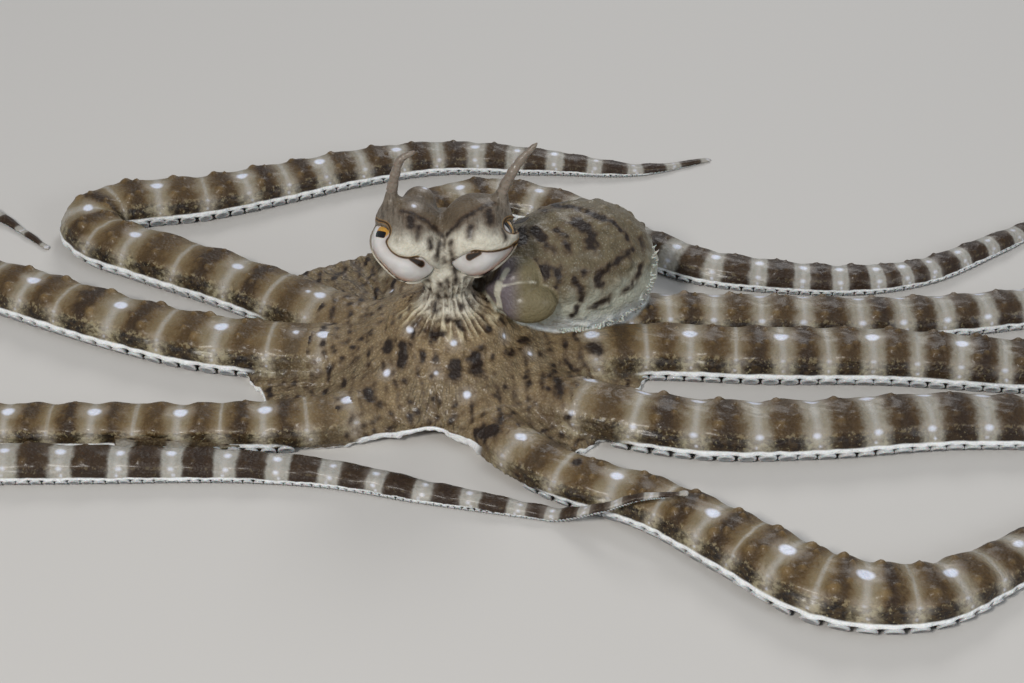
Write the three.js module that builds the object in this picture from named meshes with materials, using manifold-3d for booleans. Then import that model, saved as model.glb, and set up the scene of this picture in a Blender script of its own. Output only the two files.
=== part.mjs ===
// A mimic octopus (Thaumoctopus mimicus), life size, at rest on a flat floor with its eight arms spread.
// Millimetres. +Z is up. The animal faces -Y, so its left side is +X.
// The origin is on the floor, under the middle of the arm crown.

import * as THREE from "three";
import { mergeVertices } from "three/addons/utils/BufferGeometryUtils.js";
import Module from "manifold-3d";

const wasm = await Module();
wasm.setup();

// ---------------------------------------------------------------- driving dimensions

const GAP = 0.3;                     // space between neighbouring pieces

const TIP_WIDTH = 1.6;               // every arm ends this wide
const ARM_HEIGHT = 0.62;             // height of an arm's section, over its width
const RING_STRIDE = 7.5;             // longest step between two rings of an arm
const RING_TURN = 0.34;              // most that an arm may turn between two rings, in radians
const BEND_ROOM = 0.62;              // an arm's inner side reaches this share of its bend's radius at most

const WEB_CENTRE = [-2, 4];          // the neck stands here, a little behind the origin
const WEB_TOP = 19;                  // height of the crown under the neck
const WEB_RIM = 3.2;                 // height of the web's free edge
const WEB_SHOULDER = 31;             // distance from the neck at which the crown has sunk to the rim's height
const WEB_SLOPE = 1.35;              // how fast that slope flattens, a power
const WEB_FLAT_SHARE = 0.4;          // the middle of the underside, as a share of the web's reach, is flat
const WEB_TOP_RADIUS = 8.5;          // of the flat top of the crown, which carries the neck
const FRONT_ARCH = { lift: 3, direction: -97, narrowness: 6 };   // the web's front edge, clear of the floor

const EYE_RADIUS = 7.9;
const TURRET_RADII = [8.0, 8.2, 8.3];
const HORN = { base: 1.35, tip: 0.35, sides: 7, steps: 9 };      // radii at the two ends
const HEAD = { centre: [-3.2, 6.5, 33], radii: [10.5, 8.5, 8] };
const NECK = { foot: [-2, 4, WEB_TOP + GAP], footRadius: 8.3, waistRadius: 6.6, topRadius: 7.6, height: 12 };

// front and back are the ends of the mantle's axis. neck and girth are radii, and widest is the share of
// its length at which it is that wide.
const MANTLE = { front: [6, 11, 22.5], back: [42.6, 36, 12.4], neck: 7, girth: 15.8, widest: 0.58 };

// The funnel's outer radii at its root and mouth, and those of its bore, which starts at boreFrom.
const FUNNEL = {
  root: [10, 7, 22.5], mouth: [18.5, 1.5, 15], outer: [4, 5.8], bore: [2.4, 4.6], boreFrom: 0.6,
};

// ---------------------------------------------------------------- head, eyes and horns

// Centres of each eyeball and of the fleshy turret that carries it.
const EYES = {
  right: { ball: [-11.1, 1.6, 35.9], turret: [-10.4, 3.4, 38.2] },
  left: { ball: [4.7, 2.0, 37.0], turret: [4.0, 3.8, 38.9] },
};

// Each horn's line, from inside the turret to its tip.
const HORN_LINES = {
  right: [[-14.2, 5, 42], [-14.2, 5.5, 46.5], [-13.3, 6, 51.5], [-11.9, 6.5, 55], [-8.8, 7, 56.5]],
  left: [[8.6, 5, 43], [9.6, 5.5, 47], [11.4, 6, 51], [13.8, 7, 54.5], [17.2, 8, 58]],
};

// ---------------------------------------------------------------- the arms

// widths: across the arm at each fifth of its length, from the crown to the tip.
// root: length of the stretch inside the web. cuts: where the free arm is parted, as shares of its length.
// route: the arm's line over the floor from the crown to the tip, [x, y] or [x, y, lift off the floor].
const ARMS = {
  left_1: {
    widths: [13.5, 13, 16.5, 9.5, 5.5, TIP_WIDTH], root: 38, cuts: [0.32, 0.58, 0.8],
    route: [[2, -6], [9, -24], [21, -36], [42, -47], [58, -60], [74, -73], [92, -75], [106, -68],
            [122, -56], [140, -47], [158, -50], [169, -63], [168, -80], [156, -91], [142, -92]],
  },
  left_2: {
    widths: [15.5, 15.5, 14.5, 11.5, 7, TIP_WIDTH], root: 38, cuts: [0.25, 0.5, 0.75],
    route: [[5, -3], [31, -16], [53, -22], [77, -22], [107, -19], [130, -20], [156, -27],
            [182, -36], [207, -38], [228, -30], [243, -18], [258, -11]],
  },
  left_3: {
    widths: [15, 15.5, 15, 12, 7.5, TIP_WIDTH], root: 36, cuts: [0.25, 0.5, 0.75],
    route: [[6, 2], [25, 5], [43, 6.5], [69, 5], [97, 4.5], [128, 1], [155, 0], [182, 5], [206, 13],
            [229, 15], [250, 8], [268, 6]],
  },
  left_4: {
    widths: [12.5, 12.5, 12, 10, 6.5, TIP_WIDTH], root: 34, cuts: [0.25, 0.5, 0.75],
    route: [[6, 6], [24, 13.5], [44, 21.3], [64, 21.3], [99, 20.5], [130, 24.5], [154, 31], [176, 40],
            [199, 46], [222, 44], [243, 38], [258, 42]],
  },
  right_4: {
    widths: [13.5, 13.5, 12, 9.5, 6.5, TIP_WIDTH], root: 38, cuts: [0.28, 0.52, 0.78],
    route: [[-6, 12], [-11, 32], [-14, 52], [-8, 67], [5, 73], [19, 70], [32, 62], [45, 51],
            [58, 43], [76, 39], [97, 38], [112, 42], [128, 52], [144, 63], [160, 70], [177, 70]],
  },
  right_3: {
    widths: [15.5, 15.5, 15, 12.5, 9.5, TIP_WIDTH], root: 40, cuts: [0.22, 0.42, 0.72],
    route: [[-9, 8], [-31, 20], [-56, 35], [-78, 46.5], [-89, 53], [-93.5, 60.5], [-89, 67.5],
            [-80, 70.5], [-67, 73], [-49, 80], [-30, 88], [-8, 94], [20, 93], [45, 91], [64, 97]],
  },
  right_2: {
    widths: [15.5, 15.5, 14.5, 11, 6.5, TIP_WIDTH], root: 38, cuts: [0.25, 0.5, 0.75],
    route: [[-10, 3], [-35, 6], [-59, 10], [-82, 19], [-111, 33], [-135, 42], [-158, 51],
            [-171, 64], [-169, 80], [-155, 88], [-138, 83], [-121, 71], [-104, 55]],
  },
  right_1: {
    widths: [14, 13, 11.5, 9.8, 6.5, TIP_WIDTH], root: 36, cuts: [0.3, 0.45, 0.75],
    route: [[-8, -6], [-24, -17.5], [-48, -21], [-76, -20.8], [-104, -20], [-118, -18.8], [-128, -18.6],
            [-135, -22], [-137, -27], [-134, -32.2], [-127, -34.6], [-116, -34], [-104, -32.6],
            [-76, -32.3], [-46, -32.6], [-26, -35], [-8, -40], [8, -44], [20, -47], [30, -50.5, 5],
            [38, -51.5, 9], [47, -52.5, 10.8]],
  },
};

// A D-shaped section, flat below, as [across / width, up / height], going round once.
const ARM_SECTION = [[-0.42, 0], [-0.5, 0.28], [-0.37, 0.76], [-0.13, 1],
                     [0.13, 1], [0.37, 0.76], [0.5, 0.28], [0.42, 0]];

// ---------------------------------------------------------------- solids and their joins

function toSolid(geometry) {
  const bare = geometry.clone();
  bare.deleteAttribute("normal");
  bare.deleteAttribute("uv");
  const merged = mergeVertices(bare, 1e-4);
  return new wasm.Manifold(new wasm.Mesh({
    numProp: 3,
    vertProperties: Float32Array.from(merged.attributes.position.array),
    triVerts: Uint32Array.from(merged.index.array),
  }));
}

function toGeometry(solid) {
  const mesh = solid.getMesh();
  const geometry = new THREE.BufferGeometry();
  geometry.setAttribute("position", new THREE.BufferAttribute(mesh.vertProperties, 3));
  geometry.setIndex(new THREE.BufferAttribute(mesh.triVerts, 1));
  geometry.computeVertexNormals();
  return geometry;
}

// A closed skin over a row of rings with equal numbers of points, with a fan over each end.
function ringedBody(rings) {
  const size = rings[0].length;
  const points = rings.flat();
  const faces = [];
  for (let ring = 0; ring < rings.length - 1; ring += 1) {
    for (let i = 0; i < size; i += 1) {
      const a = ring * size + i;
      const b = ring * size + (i + 1) % size;
      faces.push(a, b, b + size, a, b + size, a + size);
    }
  }
  const last = (rings.length - 1) * size;
  for (let i = 1; i < size - 1; i += 1) {
    faces.push(0, i + 1, i);
    faces.push(last, last + i, last + i + 1);
  }
  const geometry = new THREE.BufferGeometry();
  geometry.setAttribute("position", new THREE.Float32BufferAttribute(points.flatMap((p) => p.toArray()), 3));
  geometry.setIndex(faces);
  return geometry;
}

function ellipsoid(centre, radii, rounds = 14, rows = 9) {
  const ball = new THREE.SphereGeometry(1, rounds, rows);
  ball.rotateX(Math.PI / 2);
  ball.scale(...radii);
  ball.translate(...centre);
  return toSolid(ball);
}

// ---------------------------------------------------------------- arm pieces

function armLine(arm) {
  const points = arm.route.map(([x, y, lift = 0]) => new THREE.Vector3(x, y, lift));
  const line = new THREE.CatmullRomCurve3(points, false, "centripetal");
  line.arcLengthDivisions = 600;
  return line;
}

// A smooth curve through the arm's listed widths.
function armWidth(arm, share) {
  const last = arm.widths.length - 1;
  const spot = share * last;
  const i = Math.min(Math.floor(spot), last - 1);
  const at = (k) => arm.widths[THREE.MathUtils.clamp(k, 0, last)];
  const slopeIn = (at(i + 1) - at(i - 1)) / 2;
  const slopeOut = (at(i + 2) - at(i)) / 2;
  const t = spot - i;
  return at(i) * (1 - 3 * t ** 2 + 2 * t ** 3) + at(i + 1) * (3 * t ** 2 - 2 * t ** 3)
    + slopeIn * (t - 2 * t ** 2 + t ** 3) + slopeOut * (t ** 3 - t ** 2);
}

// How sharply the arm turns over the floor, in radians per mm. To its left is positive.
function armBend(line, share) {
  const reach = 2;
  const before = line.getTangentAt(Math.max(share - reach / line.getLength(), 0));
  const after = line.getTangentAt(Math.min(share + reach / line.getLength(), 1));
  return (before.x * after.y - before.y * after.x) / (2 * reach);
}

function armRing(arm, line, share, spare) {
  const middle = line.getPointAt(share);
  middle.z = Math.max(middle.z, 0);
  const ahead = line.getTangentAt(share);
  const side = new THREE.Vector3(ahead.y, -ahead.x, 0).normalize();
  const width = armWidth(arm, share) + 2 * spare;
  const height = armWidth(arm, share) * ARM_HEIGHT + spare;
  const bend = armBend(line, share);
  const squeeze = Math.min(1, BEND_ROOM / Math.max(Math.abs(bend) * width / 2, BEND_ROOM));
  return ARM_SECTION.map(([across, up]) => {
    const isInner = across * bend < 0;
    const point = middle.clone().addScaledVector(side, across * width * (isInner ? squeeze : 1));
    point.z += up === 0 ? -spare : up * height;
    return point;
  });
}

// Shares of the arm's length at which it gets a ring: close together where it turns.
function ringShares(line, from, to) {
  const length = line.getLength();
  const shares = [from];
  let lastShare = from;
  let lastAhead = line.getTangentAt(from);
  for (let share = from + 1 / length; share < to - 2 / length; share += 1 / length) {
    const ahead = line.getTangentAt(share);
    const stride = (share - lastShare) * length;
    if (stride >= RING_STRIDE || ahead.angleTo(lastAhead) >= RING_TURN) {
      shares.push(share);
      lastShare = share;
      lastAhead = ahead;
    }
  }
  shares.push(to);
  return shares;
}

function armPiece(arm, line, from, to, spare = 0) {
  return toSolid(ringedBody(ringShares(line, from, to).map((share) => armRing(arm, line, share, spare))));
}

// ---------------------------------------------------------------- crown and web

// The web's free edge seen from above: [direction from the neck in degrees, distance].
const WEB_EDGE = [[-80, 29], [-56, 43], [-40, 42], [-25, 46], [-12, 43], [3, 46], [10, 45], [18, 42],
                  [55, 26], [98, 44], [120, 52], [136, 54], [152, 49], [163, 44], [176, 48], [195, 44],
                  [215, 44], [245, 30], [262, 27]];

function webReach(degrees) {
  const [firstAngle, firstReach] = WEB_EDGE[0];
  const edge = [...WEB_EDGE, [firstAngle + 360, firstReach]];
  const angle = firstAngle + THREE.MathUtils.euclideanModulo(degrees - firstAngle, 360);
  const next = edge.findIndex(([limit]) => limit > angle);
  const [fromAngle, fromReach] = edge[next - 1];
  const [toAngle, toReach] = edge[next];
  const blend = THREE.MathUtils.smoothstep(angle, fromAngle, toAngle);
  return THREE.MathUtils.lerp(fromReach, toReach, blend);
}

// The crown sinks from the neck to the web's rim in a slope that flattens outwards.
function webHeight(distance) {
  const out = THREE.MathUtils.clamp((distance - WEB_TOP_RADIUS) / (WEB_SHOULDER - WEB_TOP_RADIUS), 0, 1);
  return WEB_RIM + (WEB_TOP - WEB_RIM) * (1 - out) ** WEB_SLOPE;
}

// Underneath, the web is flat on the floor, except that its front edge arches up.
function webLift(degrees, share) {
  const front = Math.max(0, Math.cos(THREE.MathUtils.degToRad(degrees - FRONT_ARCH.direction)));
  const out = Math.max(0, (share - WEB_FLAT_SHARE) / (1 - WEB_FLAT_SHARE));
  return FRONT_ARCH.lift * front ** FRONT_ARCH.narrowness * out ** 2;
}

function webRing(share, under, spare) {
  const directions = 40;
  return Array.from({ length: directions }, (_, i) => {
    const degrees = i * 360 / directions;
    const direction = THREE.MathUtils.degToRad(degrees);
    const reach = webReach(degrees) + spare;
    const distance = share === 0 ? WEB_TOP_RADIUS + spare : share * reach;
    const lift = webLift(degrees, share);
    const top = Math.max(webHeight(distance), lift + 0.6 * WEB_RIM) + spare;
    return new THREE.Vector3(
      WEB_CENTRE[0] + distance * Math.cos(direction),
      WEB_CENTRE[1] + distance * Math.sin(direction),
      under ? lift - spare : top,
    );
  });
}

function webSolid(spare = 0) {
  const underRings = [WEB_FLAT_SHARE, 0.8, 1].map((share) => webRing(share, true, spare));
  const topRings = [1, 0.68, 0.45, 0].map((share) => webRing(share, false, spare));
  return toSolid(ringedBody([...underRings, ...topRings]));
}

function webAndRoots(spare = 0) {
  let solid = webSolid(spare);
  for (const arm of Object.values(ARMS)) {
    const line = armLine(arm);
    solid = solid.add(armPiece(arm, line, 0, arm.root / line.getLength(), spare));
  }
  return solid;
}

function crown() {
  let solid = webAndRoots();
  for (const arm of Object.values(ARMS)) {
    const line = armLine(arm);
    const start = arm.root / line.getLength();
    const pastTheWeb = start + 0.15;
    solid = solid.subtract(armPiece(arm, line, start, pastTheWeb, GAP));
  }
  return solid;
}

// ---------------------------------------------------------------- head, eyes, horns

function eyeball({ ball }, spare = 0) {
  return ellipsoid(ball, Array(3).fill(EYE_RADIUS + spare), 14, 10);
}

function turretFlesh({ turret }, spare = 0) {
  return ellipsoid(turret, TURRET_RADII.map((radius) => radius + spare), 14, 9);
}

function turret(name) {
  const other = name === "left" ? EYES.right : EYES.left;
  const solid = turretFlesh(EYES[name]).subtract(eyeball(EYES[name], GAP)).subtract(eyeball(other, GAP));
  return name === "left" ? solid.subtract(turretFlesh(other, GAP)) : solid;
}

function neckFlesh(spare = 0) {
  const waistHeight = 0.55 * NECK.height;
  const outline = [
    new THREE.Vector2(0, 0),
    new THREE.Vector2(NECK.footRadius + spare, 0),
    new THREE.Vector2(NECK.waistRadius + spare, waistHeight),
    new THREE.Vector2(NECK.topRadius + spare, NECK.height),
    new THREE.Vector2(0, NECK.height),
  ];
  const neck = new THREE.LatheGeometry(outline, 16);
  neck.rotateX(Math.PI / 2);
  neck.translate(...NECK.foot);
  return toSolid(neck);
}

function headFlesh(spare = 0) {
  return ellipsoid(HEAD.centre, HEAD.radii.map((radius) => radius + spare), 14, 8);
}

function head() {
  let solid = neckFlesh().add(headFlesh());
  for (const eye of Object.values(EYES)) {
    solid = solid.subtract(turretFlesh(eye, GAP)).subtract(eyeball(eye, GAP));
  }
  return solid;
}

function horn(name) {
  const line = new THREE.CatmullRomCurve3(HORN_LINES[name].map((point) => new THREE.Vector3(...point)));
  const rings = Array.from({ length: HORN.steps + 1 }, (_, step) => {
    const share = step / HORN.steps;
    const ahead = line.getTangentAt(share);
    const across = new THREE.Vector3(0, 1, 0).cross(ahead).normalize();
    const over = ahead.clone().cross(across);
    const radius = THREE.MathUtils.lerp(HORN.base, HORN.tip, share ** 0.8);
    return Array.from({ length: HORN.sides }, (__, i) => {
      const turn = i * 2 * Math.PI / HORN.sides;
      return line.getPointAt(share)
        .addScaledVector(across, radius * Math.cos(turn))
        .addScaledVector(over, radius * Math.sin(turn));
    });
  });
  return toSolid(ringedBody(rings)).subtract(turretFlesh(EYES[name], GAP));
}

// ---------------------------------------------------------------- mantle and funnel

// A body of revolution about the line between two points. Its profile lists [share of the line, radius].
function turned(profile, from, to, sides) {
  const start = new THREE.Vector3(...from);
  const along = new THREE.Vector3(...to).sub(start);
  const outline = profile.map(([share, radius]) => new THREE.Vector2(radius, share * along.length()));
  const lathe = new THREE.LatheGeometry(outline, sides);
  lathe.rotateX(Math.PI / 2);
  const up = new THREE.Vector3(0, 0, 1);
  lathe.applyQuaternion(new THREE.Quaternion().setFromUnitVectors(up, along.normalize()));
  lathe.translate(...from);
  return toSolid(lathe);
}

function belowFloor() {
  const depth = 60;
  const block = new THREE.BoxGeometry(600, 400, depth);
  block.translate(0, 0, -depth / 2);
  return toSolid(block);
}

// An egg: it swells from the neck to the girth, and its back end is round.
function mantleRadius(share) {
  if (share < MANTLE.widest) {
    return MANTLE.neck + (MANTLE.girth - MANTLE.neck) * Math.sin(Math.PI / 2 * share / MANTLE.widest);
  }
  const past = (share - MANTLE.widest) / (1 - MANTLE.widest);
  return MANTLE.girth * Math.sqrt(Math.max(0, 1 - past ** 2.3));
}

function mantle() {
  const shares = [0, 0.12, 0.26, 0.42, 0.58, 0.7, 0.81, 0.9, 0.96, 0.99, 1];
  const outline = [[0, 0], ...shares.map((share) => [share, mantleRadius(share)])];
  let solid = turned(outline, MANTLE.front, MANTLE.back, 20);
  for (const neighbour of [belowFloor(), headFlesh(GAP), turretFlesh(EYES.left, GAP), webAndRoots(GAP),
                           neckFlesh(GAP), funnelFlesh(1.5 * GAP)]) {
    solid = solid.subtract(neighbour);
  }
  for (const arm of [ARMS.left_3, ARMS.left_4, ARMS.right_4]) {
    solid = solid.subtract(armPiece(arm, armLine(arm), 0, 0.5, GAP));
  }
  return solid;
}

function funnelFlesh(spare = 0) {
  const [rootRadius, mouthRadius] = FUNNEL.outer.map((radius) => radius + spare);
  const lipRadius = 0.9 * mouthRadius;
  const profile = [[0, 0], [0, rootRadius], [0.45, mouthRadius], [0.85, mouthRadius], [1, lipRadius], [1, 0]];
  return turned(profile, FUNNEL.root, FUNNEL.mouth, 14);
}

function funnel() {
  const [boreRoot, boreMouth] = FUNNEL.bore;
  const beyond = 1.1;
  const profile = [[FUNNEL.boreFrom, 0], [FUNNEL.boreFrom, boreRoot], [beyond, boreMouth], [beyond, 0]];
  let solid = funnelFlesh().subtract(turned(profile, FUNNEL.root, FUNNEL.mouth, 14));
  for (const neighbour of [webAndRoots(GAP), headFlesh(GAP), neckFlesh(GAP), turretFlesh(EYES.left, GAP)]) {
    solid = solid.subtract(neighbour);
  }
  return solid;
}

// ---------------------------------------------------------------- the model

function material(colour, roughness) {
  return new THREE.MeshStandardMaterial({ color: colour, roughness, metalness: 0 });
}

const octopus = new THREE.Group();

function place(name, solid, colour, roughness = 0.45) {
  const mesh = new THREE.Mesh(toGeometry(solid), material(colour, roughness));
  mesh.name = name;
  octopus.add(mesh);
}

const BAND_COLOURS = [0x6b4d33, 0xa59a8a];
const LENGTH_NAMES = ["near", "middle", "outer", "tip"];

for (const [name, arm] of Object.entries(ARMS)) {
  const line = armLine(arm);
  const length = line.getLength();
  const start = arm.root / length;
  const bounds = [0, ...arm.cuts, 1].map((cut) => start + cut * (1 - start));
  LENGTH_NAMES.forEach((part, i) => {
    const piece = armPiece(arm, line, bounds[i] + GAP / length, bounds[i + 1]);
    place(`arm_${name}_${part}`, piece, BAND_COLOURS[i % 2]);
  });
}

place("crown_web", crown(), 0x8d7a62);
place("head", head(), 0xb9ad98);
for (const [name, eye] of Object.entries(EYES)) {
  place(`eye_turret_${name}`, turret(name), 0xa79a8c);
  place(`eye_${name}`, eyeball(eye), 0xe6e3dc, 0.15);
  place(`horn_${name}`, horn(name), 0x85786c);
}
place("mantle", mantle(), 0x7d7468);
place("funnel", funnel(), 0x6f674f);

export default octopus;
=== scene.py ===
"""A mimic octopus, life size, at rest with its banded arms spread over a pale floor.

The flesh is one skin. It is the surface of a field, worked out from named forms (arms, web, head, mantle
and funnel) on a grid, so no seam shows where they meet. Lengths are in millimetres until a mesh is made.
The animal faces -Y, and its right side is -X.
"""

import math

import bpy
import numpy as np
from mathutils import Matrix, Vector
from mathutils.bvhtree import BVHTree


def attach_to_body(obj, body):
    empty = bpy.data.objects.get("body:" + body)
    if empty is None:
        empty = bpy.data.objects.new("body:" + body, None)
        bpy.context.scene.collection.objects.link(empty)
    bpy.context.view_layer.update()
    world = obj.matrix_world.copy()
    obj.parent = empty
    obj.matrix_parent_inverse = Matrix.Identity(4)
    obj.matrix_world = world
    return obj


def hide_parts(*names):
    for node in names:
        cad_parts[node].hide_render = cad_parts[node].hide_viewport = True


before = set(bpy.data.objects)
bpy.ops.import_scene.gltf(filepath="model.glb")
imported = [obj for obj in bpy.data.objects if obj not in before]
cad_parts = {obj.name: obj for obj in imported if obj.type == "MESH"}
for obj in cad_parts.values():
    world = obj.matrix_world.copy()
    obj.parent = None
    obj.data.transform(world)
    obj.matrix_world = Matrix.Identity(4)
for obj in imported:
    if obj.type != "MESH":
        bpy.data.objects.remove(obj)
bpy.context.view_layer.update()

MM = 0.001

CAMERA_PLACE = (11.818, -372.165, 281.771)
CAMERA_DROP, CAMERA_WIDTH = 36, 28   # degrees: how far it looks down, and how wide its view is
PICTURE_MIDDLE = (512, 341.5)        # of its picture, in pixels

# ---------------------------------------------------------------- driving dimensions
#
# The arms, the web, the eyes, the head and the horns have the solids' own dimensions. The neck, the mantle
# and the funnel lie closer to the photograph, and the nose, the nape and the dome are the skin's alone.

ARM_HEIGHT = 0.62                    # height of an arm's section, over its width
WEB_CENTRE = np.array([-2.0, 4.0])
WEB_TOP, WEB_RIM = 19.0, 3.2
WEB_SHOULDER, WEB_SLOPE = 31.0, 1.35
WEB_FLAT_SHARE, WEB_TOP_RADIUS = 0.4, 8.5
WEB_INSET, TURRET_INSET, MANTLE_INSET = 0.4, 0.4, 0.35    # the skin's knobs and lids need this room
ARCH_LIFT, ARCH_DIRECTION, ARCH_NARROWNESS = 3.0, -97.0, 6
EYE_RADIUS = 7.9
EYE_PRESS = 0.19                     # how far the lower lid presses a ball in, over its radius
TURRET_RADII = (8.0, 8.2, 8.3)
HEAD_CENTRE, HEAD_RADII = (-3.2, 6.5, 33.0), (10.5, 8.5, 8.0)
NECK_FOOT, NECK_RADII, NECK_HEIGHT = (-2.4, 3.4, 17.5), (10.5, 4.9, 6.0), 13.0
MANTLE_FRONT, MANTLE_BACK = (6.0, 8.2, 22.1), (42.6, 33.2, 12.0)
MANTLE_NECK, MANTLE_GIRTH, MANTLE_WIDEST = 7.0, 15.8, 0.58
FUNNEL_ROOT, FUNNEL_MOUTH = (10.0, 7.0, 22.5), (18.5, 1.5, 15.0)
FUNNEL_STALK = 4.0
FUNNEL_OPENING, FUNNEL_OPENING_RADIUS = ((16.2, 4.0, 17.0), (17.9, 2.4, 11.6)), 2.4
# Its two round lobes face the camera: (middle, radii across, up and towards the camera).
FUNNEL_LOBES = [((13.3, 5.5, 24.3), (4.6, 4.9, 3.0)), ((15.6, 3.1, 19.7), (6.2, 4.5, 3.3))]
# Two rods of flesh, down the front and the back of the head, and a round dome behind the right brow.
NOSE_TOP, NOSE_FOOT, NOSE_RADIUS = (-3.3, 1.2, 38.0), (-2.6, -0.2, 26.0), 2.3
NAPE_TOP, NAPE_FOOT, NAPE_RADIUS = (-1.5, 9.0, 31.0), (7.0, 12.5, 24.0), 4.6
DOME_CENTRE, DOME_RADII = (-8.5, 9.6, 41.9), (3.7, 3.7, 3.7)
HORN_FLARE = 2.6

# The balls and the turrets that carry them. gaze is where the pupil looks.
EYES = {
    "right": {"ball": (-11.1, 1.6, 35.9), "turret": (-10.4, 3.4, 38.2), "gaze": (-0.684, -0.371, 0.629),
              "press": (-0.72, -0.69, 0.1)},
    "left": {"ball": (4.7, 2.0, 37.0), "turret": (4.0, 3.8, 38.9), "gaze": (0.797, -0.171, 0.578),
             "press": (0.62, -0.77, 0.1)},
}

# The middle of each horn, from inside the brow to the tip.
HORN_LINES = {
    "right": [(-14.2, 5, 42), (-14.2, 5.5, 46.5), (-13.3, 6, 51.5), (-11.9, 6.5, 55), (-8.8, 7, 56.5)],
    "left": [(8.6, 5, 43), (9.6, 5.5, 47), (11.4, 6, 51), (13.8, 7, 54.5), (17.2, 8, 58)],
}

# Each lid, as seen in the photograph, in mm across and up from the middle of its ball. It covers an oval
# and all that lies above a line between the eye's corners, but for a notch that bares the pupil.
LIDS = {
    "right": {"middle": (0.65, 1.96), "half": (5.0, 5.0), "corner": ((-7.0, 6.2), (5.6, -4.6)),
              "notch": (-5.2, 2.9, 2.1), "pit": ((1.2, -3.1), (3.4, -4.1))},
    "left": {"middle": (2.0, 3.6), "half": (8.0, 6.4), "corner": ((-5.5, -4.6), (-1.5, -2.6)),
             "notch": (7.1, 3.2, 1.8), "pit": ((0.3, -3.0), (-2.0, -3.8))},
}

# The ridge of each brow in the same view, from the horn's foot to the nose.
BROWS = {"right": ((-1.7, 7.2), (7.4, 1.7)), "left": ((2.8, 7.8), (-7.2, 0.9))}

# The web's free edge seen from above: (direction from the neck in degrees, distance).
WEB_EDGE = [(-80, 29), (-56, 43), (-40, 42), (-25, 46), (-12, 43), (3, 46), (10, 45), (18, 42), (55, 26),
            (98, 44), (120, 52), (136, 54), (152, 49), (163, 44), (176, 48), (195, 44), (215, 44),
            (245, 30), (262, 27), (280, 29)]

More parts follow.
